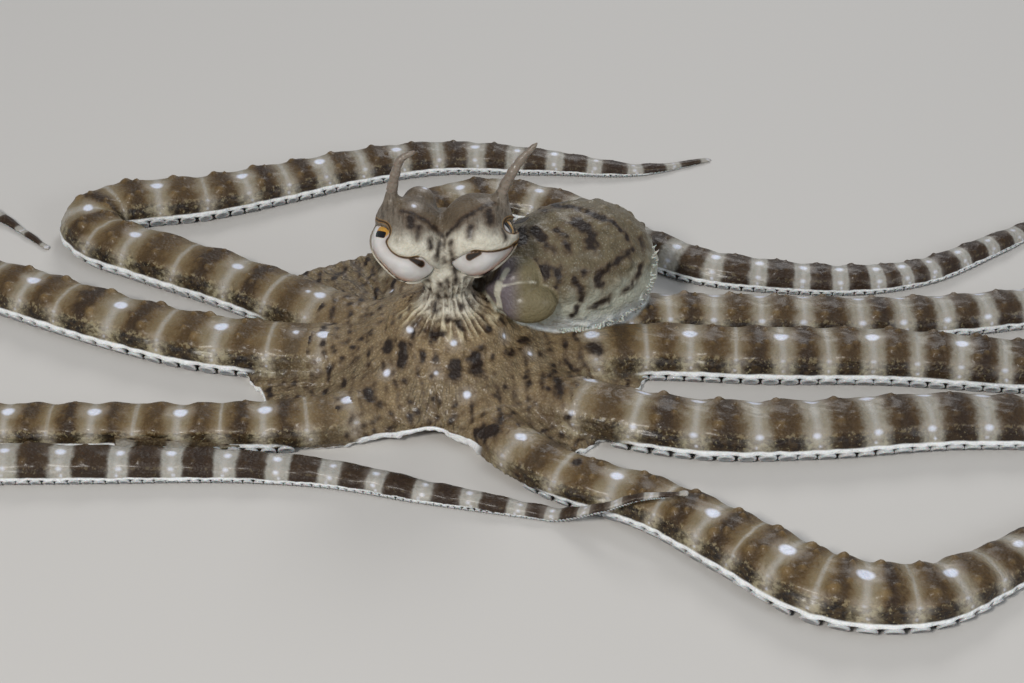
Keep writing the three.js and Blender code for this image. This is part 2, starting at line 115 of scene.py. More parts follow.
# widths: across the arm at each fifth of its length. root: length of the stretch inside the web.
# spots: whether its white spots lie along the middle of its back, one to every second pale band, or in pairs.
# crisp: the shares of its length between which its bands turn from soft to sharp.
# bands: (place along the arm, number of the pale band there), between which the others are evenly spaced.
# route: the arm's line over the floor from the crown to the tip, (x, y) or (x, y, lift).
ARMS = {
    "left_1": {
        "widths": [13.5, 13, 16.5, 9.5, 5.5, 1.6], "spots": "middle", "root": 38,
        "crisp": (0.4, 0.85),
        "bands": [(27, 2), (51, 4), (74, 6), (92.5, 8), (109, 10), (126.5, 12), (145.4, 14), (260, 27)],
        "route": [(2, -6), (9, -24), (21, -36), (42, -47), (58, -60), (74, -73), (92, -75), (106, -68),
                  (122, -56), (140, -47), (158, -50), (169, -63), (168, -80), (156, -91), (142, -92)],
    },
    "left_2": {
        "widths": [15.5, 15.5, 14.5, 11.5, 7, 1.6], "spots": "pairs", "root": 38,
        "crisp": (0.1, 0.6),
        "bands": [(12.7, 1), (63.5, 5), (113.9, 9), (190, 16), (267, 25)],
        "route": [(5, -3), (31, -16), (53, -22), (77, -22), (107, -19), (130, -20), (156, -27),
                  (182, -36), (207, -38), (228, -30), (243, -18), (258, -11)],
    },
    "left_3": {
        "widths": [15, 15.5, 15, 12, 7.5, 1.6], "spots": "middle", "root": 36,
        "crisp": (0.14, 0.65),
        "bands": [(36.5, 3), (57, 5), (77.5, 7), (98, 9), (117.5, 11), (266, 26)],
        "route": [(6, 2), (25, 5), (43, 6.5), (69, 5), (97, 4.5), (128, 1), (155, 0), (182, 5),
                  (206, 13), (229, 15), (250, 8), (268, 6)],
    },
    "left_4": {
        "widths": [12.5, 12.5, 12, 10, 6.5, 1.6], "spots": "pairs", "root": 34,
        "crisp": (0.12, 0.6),
        "bands": [(23.5, 2), (34.5, 3), (67, 6), (77, 7), (90, 8), (109.5, 10), (261, 25)],
        "route": [(6, 6), (24, 13.5), (44, 21.3), (64, 21.3), (99, 20.5), (130, 24.5), (154, 31),
                  (176, 40), (199, 46), (222, 44), (243, 38), (258, 42)],
    },
    "right_4": {
        "widths": [13.5, 13.5, 12, 9.5, 6.5, 1.6], "spots": "middle", "root": 38,
        "crisp": (0.2, 0.6),
        "bands": [(51, 5), (65, 6), (137.5, 13), (158.5, 15), (176, 17), (190, 19), (219, 22), (262, 27)],
        "route": [(-6, 12), (-11, 32), (-14, 52), (-8, 67), (5, 73), (19, 70), (32, 62), (45, 51),
                  (58, 43), (76, 39), (97, 38), (112, 42), (128, 52), (144, 63), (160, 70), (177, 70)],
    },
    "right_3": {
        "widths": [15.5, 15.5, 15, 12.5, 9.5, 1.6], "spots": "middle", "root": 40,
        "crisp": (0.4, 0.9),
        "bands": [(51, 4), (81, 6), (109.6, 9), (132.6, 11), (268, 24)],
        "route": [(-9, 8), (-31, 20), (-56, 35), (-78, 46.5), (-89, 53), (-93.5, 60.5), (-89, 67.5),
                  (-80, 70.5), (-67, 73), (-49, 80), (-30, 88), (-8, 94), (20, 93), (45, 91), (64, 97)],
    },
    "right_2": {
        "widths": [15.5, 15.5, 14.5, 11, 6.5, 1.6], "spots": "middle", "root": 38,
        "crisp": (0.3, 0.75),
        "bands": [(45, 4), (71, 6), (85.4, 7), (271, 25)],
        "route": [(-10, 3), (-35, 6), (-59, 10), (-82, 19), (-111, 33), (-135, 42), (-158, 51),
                  (-171, 64), (-169, 80), (-155, 88), (-138, 83), (-121, 71), (-104, 55)],
    },
    "right_1": {
        "widths": [14, 13, 11.5, 9.8, 6.5, 1.6], "spots": "middle", "root": 36,
        "crisp": (0.35, 0.62),
        "bands": [(20, 2), (56.5, 6), (94, 10), (182.1, 18), (206.6, 20), (252.1, 24), (293.2, 28),
                  (323.2, 32)],
        "route": [(-8, -6), (-24, -17.5), (-48, -21), (-76, -20.8), (-104, -20), (-118, -18.8),
                  (-128, -18.6), (-135, -22), (-137, -27), (-134, -32.2), (-127, -34.6), (-116, -34),
                  (-104, -32.6), (-76, -32.3), (-46, -32.6), (-26, -35), (-8, -40), (8, -44),
                  (20, -47), (30, -50.5, 5), (38, -51.5, 9), (47, -52.5, 10.8)],
    },
}

# ---------------------------------------------------------------- small numeric tools


def smoothstep(value, low, high):
    t = np.clip((value - low) / (high - low), 0, 1)
    return t * t * (3 - 2 * t)


def bump(value, centre, half_width):
    """1 at the centre, falling smoothly to 0 half_width away."""
    return 1 - smoothstep(np.abs(value - centre), 0, half_width)


def merge(a, b, blend):
    """The union of two fields, rounded over the given distance where they meet."""
    h = np.maximum(blend - np.abs(a - b), 0) / np.maximum(blend, 1e-6)
    return np.minimum(a, b) - h * h * blend / 4


def common(a, b, blend):
    """What two fields share, rounded in the same way."""
    return -merge(-a, -b, blend)


def unit(vector):
    vector = np.asarray(vector, float)
    return vector / np.linalg.norm(vector)


VIEW_BACK = unit((0, -math.cos(math.radians(CAMERA_DROP)), math.sin(math.radians(CAMERA_DROP))))
VIEW_UP = unit((0, VIEW_BACK[2], -VIEW_BACK[1]))


def noise(x, y, z, size, seed=0):
    """Smooth noise from about -1 to 1 whose lumps are the given size across."""
    total = np.zeros(np.broadcast(x, y, z).shape, np.float32)
    draw = np.random.default_rng(seed)
    for _ in range(7):
        way = draw.normal(size=3)
        way *= 2 * math.pi / (size * 1.6) * draw.uniform(0.7, 1.4) / np.linalg.norm(way)
        bend = draw.normal(size=3)
        bend *= 2 * math.pi / (size * 3.1) / np.linalg.norm(bend)
        phase, turn = draw.uniform(0, 2 * math.pi, 2)
        swirl = 1.3 * np.sin(bend[0] * x + bend[1] * y + bend[2] * z + turn)
        total += np.sin(way[0] * x + way[1] * y + way[2] * z + phase + swirl)
    return total / 2.6


def hermite(t, start, end, leave, arrive):
    """A cubic from start to end that has the given slopes there."""
    return (start * (1 - 3 * t ** 2 + 2 * t ** 3) + end * (3 * t ** 2 - 2 * t ** 3)
            + leave * (t - 2 * t ** 2 + t ** 3) + arrive * (t ** 3 - t ** 2))


def centripetal(points, steps=40):
    """Points along a centripetal Catmull-Rom curve, the curve that the solids follow."""
    points = np.array([(*p, 0)[:3] for p in points], float)
    ends = 2 * points[0] - points[1], 2 * points[-1] - points[-2]
    chain = np.vstack([ends[0], points, ends[1]])
    t = np.linspace(0, 1, steps, endpoint=False)[:, None]
    curve = []
    for p0, p1, p2, p3 in zip(chain, chain[1:], chain[2:], chain[3:]):
        d0, d1, d2 = (np.linalg.norm(b - a) ** 0.5 for a, b in ((p0, p1), (p1, p2), (p2, p3)))
        leave = ((p1 - p0) / d0 - (p2 - p0) / (d0 + d1) + (p2 - p1) / d1) * d1
        arrive = ((p2 - p1) / d1 - (p3 - p1) / (d1 + d2) + (p3 - p2) / d2) * d1
        curve.append(hermite(t, p1, p2, leave, arrive))
    return np.vstack([*curve, points[-1:]])


def even_steps(curve, step):
    """The same curve with its points about a step apart, and each point's distance from the start."""
    along = np.concatenate([[0], np.cumsum(np.linalg.norm(np.diff(curve, axis=0), axis=1))])
    count = max(2, int(round(along[-1] / step)) + 1)
    places = np.linspace(0, along[-1], count)
    return np.stack([np.interp(places, along, curve[:, i]) for i in range(3)], 1), places


# ---------------------------------------------------------------- the arms

SLIM = 0.975                         # the skin's arm section, over the solid's: its knobs need room
WAIST = 0.36                         # an arm is widest at this share of its height
FOOT = 0.09                          # the skin's underside clears the floor by this share of the width
FRINGE_HEIGHT = 0.22                 # height of the white line along an arm's edge, over the width
SUCKER_PITCH = 0.275                 # from one sucker of a row to the next, over the arm's width


def width_at(widths, share):
    """A smooth curve through the listed widths."""
    last = len(widths) - 1
    spot = np.clip(share, 0, 1) * last
    i = np.minimum(spot.astype(int), last - 1)
    at = lambda k: np.asarray(widths, float)[np.clip(k, 0, last)]
    return hermite(spot - i, at(i), at(i + 1), (at(i + 1) - at(i - 1)) / 2, (at(i + 2) - at(i)) / 2)


class Arm:
    """An arm's line over the floor, with its width and its band count at each point."""

    step = 0.5
    chunk = 36                       # samples of the line that are compared with the points at a time
    beyond = 40                      # the band count is carried on this far past its last known place

    def __init__(self, widths, spots, root, crisp, bands, route):
        self.paired, self.crisp = spots == "pairs", crisp
        line, self.place = even_steps(centripetal(route), self.step)
        line[:, 2] = np.maximum(line[:, 2], 0)
        self.line = line
        self.length = self.place[-1]
        self.root = root
        ahead = np.gradient(line[:, :2], axis=0)
        self.ahead = ahead / np.linalg.norm(ahead, axis=1, keepdims=True)
        self.width = width_at(widths, self.place / self.length)
        (before, count), (last, last_count) = bands[-2:]
        start = (0, bands[0][1] - bands[0][0] / 12)
        end = (last + self.beyond, last_count + self.beyond * (last_count - count) / (last - before))
        places, counts = np.array([start, *bands, end]).T
        self.bands = np.interp(self.place, places, counts)
        self.beats = np.cumsum(self.step / (SUCKER_PITCH * self.width))

    def nearest_sample(self, x, y, reach):
        """The points within reach of the arm's sides, and the nearest sample of the line to each of them."""
        best = np.full(x.shape, np.inf, np.float32)
        which = np.zeros(x.shape, np.int32)
        for first in range(0, len(self.line), self.chunk):
            part = self.line[first:first + self.chunk]
            room = self.width[first:first + self.chunk].max() / 2 + reach
            near = np.flatnonzero((x > part[:, 0].min() - room) & (x < part[:, 0].max() + room)
                                  & (y > part[:, 1].min() - room) & (y < part[:, 1].max() + room))
            if not len(near):
                continue
            far = (x[near, None] - part[None, :, 0]) ** 2 + (y[near, None] - part[None, :, 1]) ** 2
            pick = far.argmin(1)
            least = far[np.arange(len(near)), pick]
            closer = least < best[near]
            best[near[closer]] = least[closer]
            which[near[closer]] = first + pick[closer]
        rows = np.flatnonzero(best < (self.width[which] / 2 + reach) ** 2)
        return rows, which[rows]

    def nearest(self, x, y, reach):
        """The points within reach of the arm's sides: their numbers, places along and side offsets."""
        rows, sample = self.nearest_sample(x, y, reach)
        away = np.stack([x[rows], y[rows]], 1) - self.line[sample, :2]
        ahead = self.ahead[sample]
        forth = (away * ahead).sum(1)
        side = away[:, 0] * ahead[:, 1] - away[:, 1] * ahead[:, 0]
        past_end = (sample == len(self.line) - 1) & (forth > 0)
        side = np.where(past_end, np.hypot(forth, side) * np.sign(side + 1e-9), side)
        place = self.place[sample] + np.clip(forth, -self.step, self.step) * ~past_end
        return rows, place, side

    def at(self, place, values):
        return np.interp(place, self.place, values)


def arm_section(width, side, z):
    """Distance from the surface of a D-shaped section, negative inside. z is over the arm's own lift."""
    half, top = width / 2 * SLIM, ARM_HEIGHT * width * SLIM
    waist, foot = WAIST * top, FOOT * width
    up = np.where(z > waist, (z - waist) / (top - waist), (waist - z) / (waist - foot))
    across = np.abs(side) / half
    power = np.float32(2.35)
    swell = (across ** power + up ** power) ** (1 / power) + 1e-4
    return np.sqrt(side ** 2 + (z - waist) ** 2) * (1 - 1 / swell)


arms = [Arm(**facts) for facts in ARMS.values()]

# ---------------------------------------------------------------- crown and web


def web_reach(degrees):
    start = WEB_EDGE[0][0]
    angle = start + np.mod(degrees - start, 360)
    reach = np.zeros_like(angle)
    for (a, near), (b, far) in zip(WEB_EDGE, WEB_EDGE[1:]):
        here = (angle >= a) & (angle <= b)
        reach = np.where(here, near + (far - near) * smoothstep(angle, a, b), reach)
    return reach


def web_polar(x, y):
    dx, dy = x - WEB_CENTRE[0], y - WEB_CENTRE[1]
    return np.hypot(dx, dy), np.degrees(np.arctan2(dy, dx))


def web_lift(distance, degrees):
    """How far the web's underside is off the floor. It arches at the front."""
    front = np.maximum(0, np.cos(np.radians(degrees - ARCH_DIRECTION))) ** ARCH_NARROWNESS
    share = distance / (web_reach(degrees) - WEB_INSET)
    share = np.maximum(0, (share - WEB_FLAT_SHARE) / (1 - WEB_FLAT_SHARE))
    return 0.3 + ARCH_LIFT * front * share ** 2


def web_field(x, y, z):
    distance, degrees = web_polar(x, y)
    reach = web_reach(degrees) - WEB_INSET
    out = np.clip((distance - WEB_TOP_RADIUS) / (WEB_SHOULDER - WEB_TOP_RADIUS), 0, 1)
    thick = WEB_RIM * (1 - 0.45 * smoothstep(distance, 0.7 * reach, reach))
    top = thick - 0.2 + (WEB_TOP - WEB_RIM) * (1 - out) ** WEB_SLOPE
    lift = web_lift(distance, degrees)
    top = np.maximum(top, lift + 0.45 * WEB_RIM)
    slope = np.where(out < 1, (WEB_TOP - WEB_RIM) * WEB_SLOPE / (WEB_SHOULDER - WEB_TOP_RADIUS)
                     * np.maximum(1 - out, 0) ** (WEB_SLOPE - 1) * (out > 0), 0)
    slab = common((z - top) / np.sqrt(1 + slope ** 2), lift - z, 0.8)
    return common(slab, distance - reach, 1.6)


# ---------------------------------------------------------------- head, mantle and funnel


def ellipsoid(x, y, z, centre, radii):
    far = [(v - c) / r for v, c, r in zip((x, y, z), centre, radii)]
    swell = np.sqrt(far[0] ** 2 + far[1] ** 2 + far[2] ** 2) + 1e-4
    return (1 - 1 / swell) * swell * min(radii)


def about_axis(x, y, z, start, end):
    """Share of the way along a line, distance from it, and the line's length."""
    start, along = np.asarray(start, float), np.subtract(end, start)
    length = np.linalg.norm(along)
    ahead = along / length
    dx, dy, dz = x - start[0], y - start[1], z - start[2]
    forth = dx * ahead[0] + dy * ahead[1] + dz * ahead[2]
    off = np.sqrt(np.maximum(dx * dx + dy * dy + dz * dz - forth ** 2, 0))
    return forth / length, off, length


def neck_field(x, y, z):
    share = (z - NECK_FOOT[2]) / NECK_HEIGHT
    foot, waist, top = NECK_RADII
    radius = np.where(share < 0.55, waist + (foot - waist) * (1 - share / 0.55) ** 2,
                      waist + (top - waist) * ((share - 0.55) / 0.45))
    radius = np.clip(radius, 0, 13)
    off = np.hypot(x - NECK_FOOT[0], y - NECK_FOOT[1]) - radius
    return common(off, z - NECK_FOOT[2] - NECK_HEIGHT, 2.0)


def mantle_field(x, y, z):
    share, off, length = about_axis(x, y, z, MANTLE_FRONT, MANTLE_BACK)
    past = np.clip((share - MANTLE_WIDEST) / (1 - MANTLE_WIDEST), 0, 1)
    before = np.clip(share / MANTLE_WIDEST, 0, 1)
    radius = np.where(share < MANTLE_WIDEST,
                      MANTLE_NECK + (MANTLE_GIRTH - MANTLE_NECK) * np.sin(math.pi / 2 * before),
                      MANTLE_GIRTH * np.sqrt(np.maximum(0, 1 - past ** 2.3)))
    side = (off - (radius - MANTLE_INSET)) * np.where(share > 0.85, 0.7, 0.95)
    round_end = np.sqrt(off ** 2 + ((share - MANTLE_WIDEST) * length) ** 2)
    behind = np.maximum(share - MANTLE_WIDEST, 0) / (1.0 - MANTLE_WIDEST)
    swell = np.sqrt((off / (MANTLE_GIRTH - MANTLE_INSET)) ** 2.0 + behind ** 2.3)
    tail = round_end * (1 - 1 / np.maximum(1e-3, swell))
    return np.where(share > MANTLE_WIDEST, tail, np.maximum(side, -share * length))


def funnel_field(x, y, z):
    """Two round lobes, the lower one over the upper, with an opening below."""
    upper, lower = (ellipsoid(*eye_view(x, y, z, middle), (0, 0, 0), radii) for middle, radii in FUNNEL_LOBES)
    share, off, length = about_axis(x, y, z, FUNNEL_ROOT, FUNNEL_MOUTH)
    stalk = common(off - FUNNEL_STALK, np.abs(share - 0.2) * length - 0.35 * length, 1.0)
    share, off, length = about_axis(x, y, z, *FUNNEL_OPENING)
    bore = common(off - FUNNEL_OPENING_RADIUS * (0.75 + 0.5 * share), -share * length, 1.0)
    return common(merge(merge(upper, stalk, 1.5), lower, 0.2), -bore, 0.8)


def eye_view(x, y, z, centre):
    """Offsets from an eyeball's centre: across, up and towards someone who looks down at the face."""
    dx, dy, dz = x - centre[0], y - centre[1], z - centre[2]
    return dx, dy * VIEW_UP[1] + dz * VIEW_UP[2], dy * VIEW_BACK[1] + dz * VIEW_BACK[2]


def ball_field(name, x, y, z):
    """Distance from an eyeball. The lower lid presses it in on its outer side."""
    across, up, near = eye_view(x, y, z, EYES[name]["ball"])
    off = np.sqrt(across ** 2 + up ** 2 + near ** 2) + 1e-6
    return off - pressed_radius(name, across / off, up / off, near / off)


def pressed_radius(name, across, up, near):
    press = unit(EYES[name]["press"])
    facing = np.maximum(0, across * press[0] + up * press[1] + near * press[2])
    return EYE_RADIUS * (1 - EYE_PRESS * facing ** 5)


def lid_edge(name, across, up):
    """Distance from the edge of an eye's lid in that view, negative where the lid covers the ball."""
    lid = LIDS[name]
    off = np.hypot((across - lid["middle"][0]) / lid["half"][0], (up - lid["middle"][1]) / lid["half"][1])
    brow = (off - 1) * min(lid["half"])
    (x0, y0), (x1, y1) = lid["corner"]
    corner = ((across - x0) * (y1 - y0) - (up - y0) * (x1 - x0)) / math.hypot(x1 - x0, y1 - y0)
    edge = merge(brow, corner, 1.2)
    notch_across, notch_up, notch_radius = lid["notch"]
    notch = np.hypot(across - notch_across, up - notch_up) - notch_radius
    return common(edge, -notch, 0.8)


def add_rods(flesh, x, y, z):
    """Adds the nape and the nose."""
    share, off, length = about_axis(x, y, z, NAPE_TOP, NAPE_FOOT)
    nape = common(off - NAPE_RADIUS, np.abs(share - 0.5) * length - 0.6 * length, 1.5)
    flesh = merge(flesh, nape, 3.0)
    share, off, length = about_axis(x, y, z, NOSE_TOP, NOSE_FOOT)
    nose = off - NOSE_RADIUS + 1.2 * np.maximum(np.abs(share - 0.5) - 0.5, 0) * length
    return merge(flesh, nose, 2.2)


def add_horn_foot(flesh, name, x, y, z):
    share, off, length = about_axis(x, y, z, *HORN_LINES[name][:2])
    flare = off - (HORN_FLARE * (1 - 0.62 * smoothstep(share, 0, 1.5)))
    return merge(flesh, common(flare, np.abs(share - 0.5) * length - 0.75 * length, 0.6), 1.8)


def add_lids(flesh, name, x, y, z):
    """Adds a thin rim below a ball and the lid over it, and leaves room for the ball."""
    across, up, near = eye_view(x, y, z, EYES[name]["ball"])
    depth = ball_field(name, x, y, z)
    cup = common(depth - 0.5, near + 0.7, 0.4)
    edge = lid_edge(name, across, up)
    thick = 0.75 + 0.75 * smoothstep(-edge, 0, 2.5) + 0.25 * np.exp(-((edge + 0.7) / 0.5) ** 2)
    lid = common(common(depth - thick, edge, 0.9), -near - 3, 1.0)
    flesh = merge(merge(flesh, cup, 0.6), lid, 1.4)
    return np.maximum(flesh, 0.05 - depth)


def head_field(x, y, z):
    """The flesh of the head: neck, nape, nose, turrets, dome, horn feet and lids."""
    flesh = merge(neck_field(x, y, z), ellipsoid(x, y, z, HEAD_CENTRE, HEAD_RADII), 3.0)
    flesh = add_rods(flesh, x, y, z)
    for eye in EYES.values():
        flesh = merge(flesh, ellipsoid(x, y, z, eye["turret"], [r - TURRET_INSET for r in TURRET_RADII]), 1.6)
    flesh = merge(flesh, ellipsoid(x, y, z, DOME_CENTRE, DOME_RADII), 1.4)
    for name in EYES:
        flesh = add_horn_foot(flesh, name, x, y, z)
    for name in EYES:
        flesh = add_lids(flesh, name, x, y, z)
    return flesh


# ---------------------------------------------------------------- the field on a grid


def grid_lines(*stops):
    """Grid lines from (start, step) stops. The last stop is the end."""
    lines = [np.linspace(a, b, max(1, round((b - a) / step)), endpoint=False)
             for (a, step), (b, _) in zip(stops, stops[1:])]
    return np.concatenate([*lines, [stops[-1][0]]]).astype(np.float32)


GRID_X = grid_lines((-180, 0.95), (-112, 0.65), (-60, 0.45), (-24, 0.33), (20, 0.45), (60, 0.65),
                    (130, 0.95), (271, 0))
GRID_Y = grid_lines((-96, 0.6), (-50, 0.45), (-9, 0.33), (18, 0.45), (55, 0.6), (103, 0))
GRID_Z = grid_lines((-0.6, 0.42), (22, 0.4), (27, 0.33), (49.5, 0))
OUTSIDE = 3.0


def block(field, x_range, y_range, z_range):
    """A view of part of the grid, with its coordinates ready to broadcast."""
    spans = [slice(*np.searchsorted(lines, limits))
             for lines, limits in zip((GRID_X, GRID_Y, GRID_Z), (x_range, y_range, z_range))]
    x, y, z = GRID_X[spans[0]], GRID_Y[spans[1]], GRID_Z[spans[2]]
    return field[tuple(spans)], x[:, None, None], y[None, :, None], z[None, None, :]


def octopus_field():
    field = np.full((len(GRID_X), len(GRID_Y), len(GRID_Z)), OUTSIDE, np.float32)
    part, x, y, z = block(field, (-62, 56), (-48, 62), (-0.6, 24))
    web = web_field(x, y, z).astype(np.float32)
    part[:] = np.minimum(part, web)
    columns = field.reshape(-1, len(GRID_Z))
    spread_x, spread_y = (v.ravel() for v in np.meshgrid(GRID_X, GRID_Y, indexing="ij"))
    only_web = columns.copy()
    for arm in arms:
        rows, place, side = arm.nearest(spread_x, spread_y, 3.0)
        width = arm.at(place, arm.width)[:, None].astype(np.float32)
        lift = arm.at(place, arm.line[:, 2])[:, None].astype(np.float32)
        levels = int(np.searchsorted(GRID_Z, ARM_HEIGHT * width.max() + lift.max() + 2.5))
        z = GRID_Z[None, :levels]
        own = arm_section(width, side[:, None].astype(np.float32), z - lift)
        near_crown = 1 - smoothstep(place, arm.root - 4, arm.root + 10)[:, None]
        own = merge(own, only_web[rows, :levels], 0.8 + 2.6 * near_crown)
        held = columns[rows, :levels]
        columns[rows, :levels] = merge(held, own, 2.4 * near_crown)
    part, x, y, z = block(field, (-26, 24), (-14, 26), (12, 49.5))
    part[:] = merge(part, head_field(x, y, z), 2.4)
    part, x, y, z = block(field, (-6, 64), (-8, 58), (-0.6, 38))
    mantle = common(mantle_field(x, y, z), 0.3 - z, 1.5)
    part[:] = merge(part, mantle, 1.2)
    part, x, y, z = block(field, (2, 30), (-10, 18), (5, 32))
    part[:] = merge(part, funnel_field(x, y, z), 0.7)
    return field


CORNERS = [(i, j, k) for i in (0, 1) for j in (0, 1) for k in (0, 1)]


def crossed_cells(inside):
    """The numbers of the cells that the surface runs through, and the shape of the block of cells."""
    some, every = inside[:-1, :-1, :-1].copy(), inside[:-1, :-1, :-1].copy()
    for i, j, k in CORNERS[1:]:
        corner = inside[i:inside.shape[0] - 1 + i, j:inside.shape[1] - 1 + j, k:inside.shape[2] - 1 + k]
        some |= corner
        every &= corner
    return np.flatnonzero(some & ~every), some.shape


def mean_crossing(values, count):
    """The mean of the places where the surface crosses each cell's edges, as shares of the cell."""
    total, crossings = np.zeros((count, 3)), np.zeros(count)
    for corner in CORNERS:
        for axis in range(3):
            if corner[axis]:
                continue
            other = tuple(v + (n == axis) for n, v in enumerate(corner))
            a, b = values[corner], values[other]
            crossed = (a < 0) != (b < 0)
            spot = np.tile(np.array(corner, float), (count, 1))
            spot[:, axis] = np.divide(a, a - b, out=np.zeros_like(a), where=crossed)
            total += spot * crossed[:, None]
            crossings += crossed
    return total / crossings[:, None]


def onto_surface(inner, values, step):
    """Moves each cell's point twice towards the zero of the field between the cell's corners."""
    for _ in range(2):
        value, slope = 0, np.zeros_like(inner)
        for corner in CORNERS:
            parts = [inner[:, n] if corner[n] else 1 - inner[:, n] for n in range(3)]
            value = value + values[corner] * parts[0] * parts[1] * parts[2]
            for n in range(3):
                rest = parts[(n + 1) % 3] * parts[(n + 2) % 3]
                slope[:, n] += values[corner] * rest * (1 if corner[n] else -1)
        slope /= step
        move = -(value / np.maximum((slope ** 2).sum(1), 1e-3))[:, None] * slope / step
        inner = np.clip(inner + 0.8 * move, 0.02, 0.98)
    return inner


def net_faces(inside, cells, shape, axis):
    """A four-sided face round each grid line along the axis that the surface crosses."""
    first, second = (axis + 1) % 3, (axis + 2) % 3
    cut = [slice(1, -1)] * 3
    cut[axis] = slice(None, -1)
    below = inside[tuple(cut)]
    cut[axis] = slice(1, None)
    edge = np.argwhere(below != inside[tuple(cut)])
    outward = below[tuple(edge.T)]
    ring = []
    for a, b in ((0, 0), (1, 0), (1, 1), (0, 1)):
        cell = edge.copy()
        cell[:, first] += a
        cell[:, second] += b
        ring.append(np.searchsorted(cells, np.ravel_multi_index(tuple(cell.T), shape)))
    ring = np.stack(ring, 1)
    return np.where(outward[:, None], ring, ring[:, ::-1])


def surface_net(field):
    """Points and four-sided faces of the surface where the field is zero, one point to each cell."""
    inside = field < 0
    cells, shape = crossed_cells(inside)
    home = np.stack(np.unravel_index(cells, shape), 1)
    values = {corner: field[tuple((home + corner).T)] for corner in CORNERS}
    lines = GRID_X, GRID_Y, GRID_Z
    low = np.stack([line[home[:, n]] for n, line in enumerate(lines)], 1)
    step = np.stack([line[home[:, n] + 1] for n, line in enumerate(lines)], 1) - low
    inner = onto_surface(mean_crossing(values, len(cells)), values, step)
    faces = [net_faces(inside, cells, shape, axis) for axis in range(3)]
    return low + inner * step, np.vstack(faces)


# ---------------------------------------------------------------- where each point of the skin is


def face_normals_to_points(points, faces):
    """Smooth normals at the points of a mesh of four-sided faces."""
    a, b, c, d = (points[faces[:, i]] for i in range(4))
    cross = np.cross(c - a, d - b)
    total = np.stack([np.bincount(faces.ravel(), np.repeat(cross[:, n], 4), len(points))
                      for n in range(3)], 1)
    return total / np.maximum(np.linalg.norm(total, axis=1, keepdims=True), 1e-9)


class Places:
    """For each point of the skin, its place on its nearest arm, and how much it belongs to each form."""

    def __init__(self, points):
        count = len(points)
        self.x, self.y, self.z = points.T
        self.off_arm = np.full(count, 4.0)       # distance from the nearest arm's own section
        self.place, self.side, self.lift, self.bands, self.beat, self.out = np.zeros((6, count))
        self.width, self.root, self.pitch = np.ones((3, count))
        self.arm_number, self.paired = np.zeros(count, int), np.zeros(count, bool)
        for number, arm in enumerate(arms):
            self.take_arm(number, arm)
        self.distance, self.degrees = web_polar(self.x, self.y)
        self.top = ARM_HEIGHT * self.width * SLIM
        self.up = np.clip((self.z - self.lift) / self.top, 0, 1.2)
        self.find_forms()
        self.lay_out()

    def take_arm(self, number, arm):
        """Writes the arm's facts to the points that it is nearest to."""
        rows, place, side = arm.nearest(self.x, self.y, 3.5)
        width, lift = arm.at(place, arm.width), arm.at(place, arm.line[:, 2])
        own = arm_section(width, side, self.z[rows] - lift)
        closer = np.abs(own) < self.off_arm[rows]
        rows, place, side = rows[closer], place[closer], side[closer]
        self.off_arm[rows] = np.abs(own[closer])
        self.place[rows], self.side[rows] = place, side
        self.width[rows], self.lift[rows], self.root[rows] = width[closer], lift[closer], arm.root
        self.arm_number[rows], self.paired[rows] = number, arm.paired
        self.bands[rows] = arm.at(place, arm.bands)
        self.pitch[rows] = 1 / np.maximum(arm.at(place, np.gradient(arm.bands, arm.place)), 1e-3)
        self.beat[rows] = arm.at(place, arm.beats) + 0.5 * (side > 0)
        soft, sharp = np.multiply(arm.crisp, arm.length)
        self.out[rows] = np.clip((place - soft) / (sharp - soft), 0, 1)

    def find_forms(self):
        """How much each point belongs to the head, the mantle, the funnel and an arm, from 0 to 1."""
        x, y, z = self.x, self.y, self.z
        self.head = (1 - smoothstep(head_field(x, y, z), 0.3, 1.6)) * smoothstep(z, 18, 22)
        self.funnel = (1 - smoothstep(funnel_field(x, y, z), 0.15, 0.6)) * (1 - self.head)
        self.mantle = (1 - smoothstep(mantle_field(x, y, z), 0.3, 1.4)) * (1 - self.head)
        self.mantle *= 1 - self.funnel
        self.body = np.maximum.reduce([self.head, self.mantle, self.funnel])
        on_arm = 1 - smoothstep(self.off_arm, 0.6, 2.6)
        self.arm = on_arm * smoothstep(self.place, 6, self.root) * (1 - self.body)
        self.free = smoothstep(self.place, self.root - 8, self.root + 6) * self.arm

    def lay_out(self):
        """Places that run along and round the arms, and round and out over the web, for the textures."""
        turn = np.arctan2(self.side, self.z - (self.lift + WAIST * self.top))
        self.arm_lay = np.stack([self.place, turn * self.width * 0.42, self.arm_number * 37.0], 1)
        around = np.radians(self.degrees)
        self.web_lay = np.stack([np.cos(around) * 26, np.sin(around) * 26, self.distance / 9], 1)

    def near_band(self, shift=0.0):
        """Distance along the arm from the middle of the nearest pale band, and that band's number."""
        number = np.round(self.bands - shift) + shift
        return (self.bands - number) * self.pitch, number

    def from_spot(self, along, across, height):
        """Distance from a place in the arm's section, in shares of its half width and of its height."""
        side = across * self.width / 2 * SLIM
        return np.sqrt(along ** 2 + (np.abs(self.side) - side) ** 2
                       + (self.z - self.lift - height * self.top) ** 2)


# ---------------------------------------------------------------- relief

# The knobs between two pale bands: (place, share of the half width, radius over the arm's width).
KNOBS = [(0.4, 0.52, 0.085), (0.64, 0.3, 0.05)]


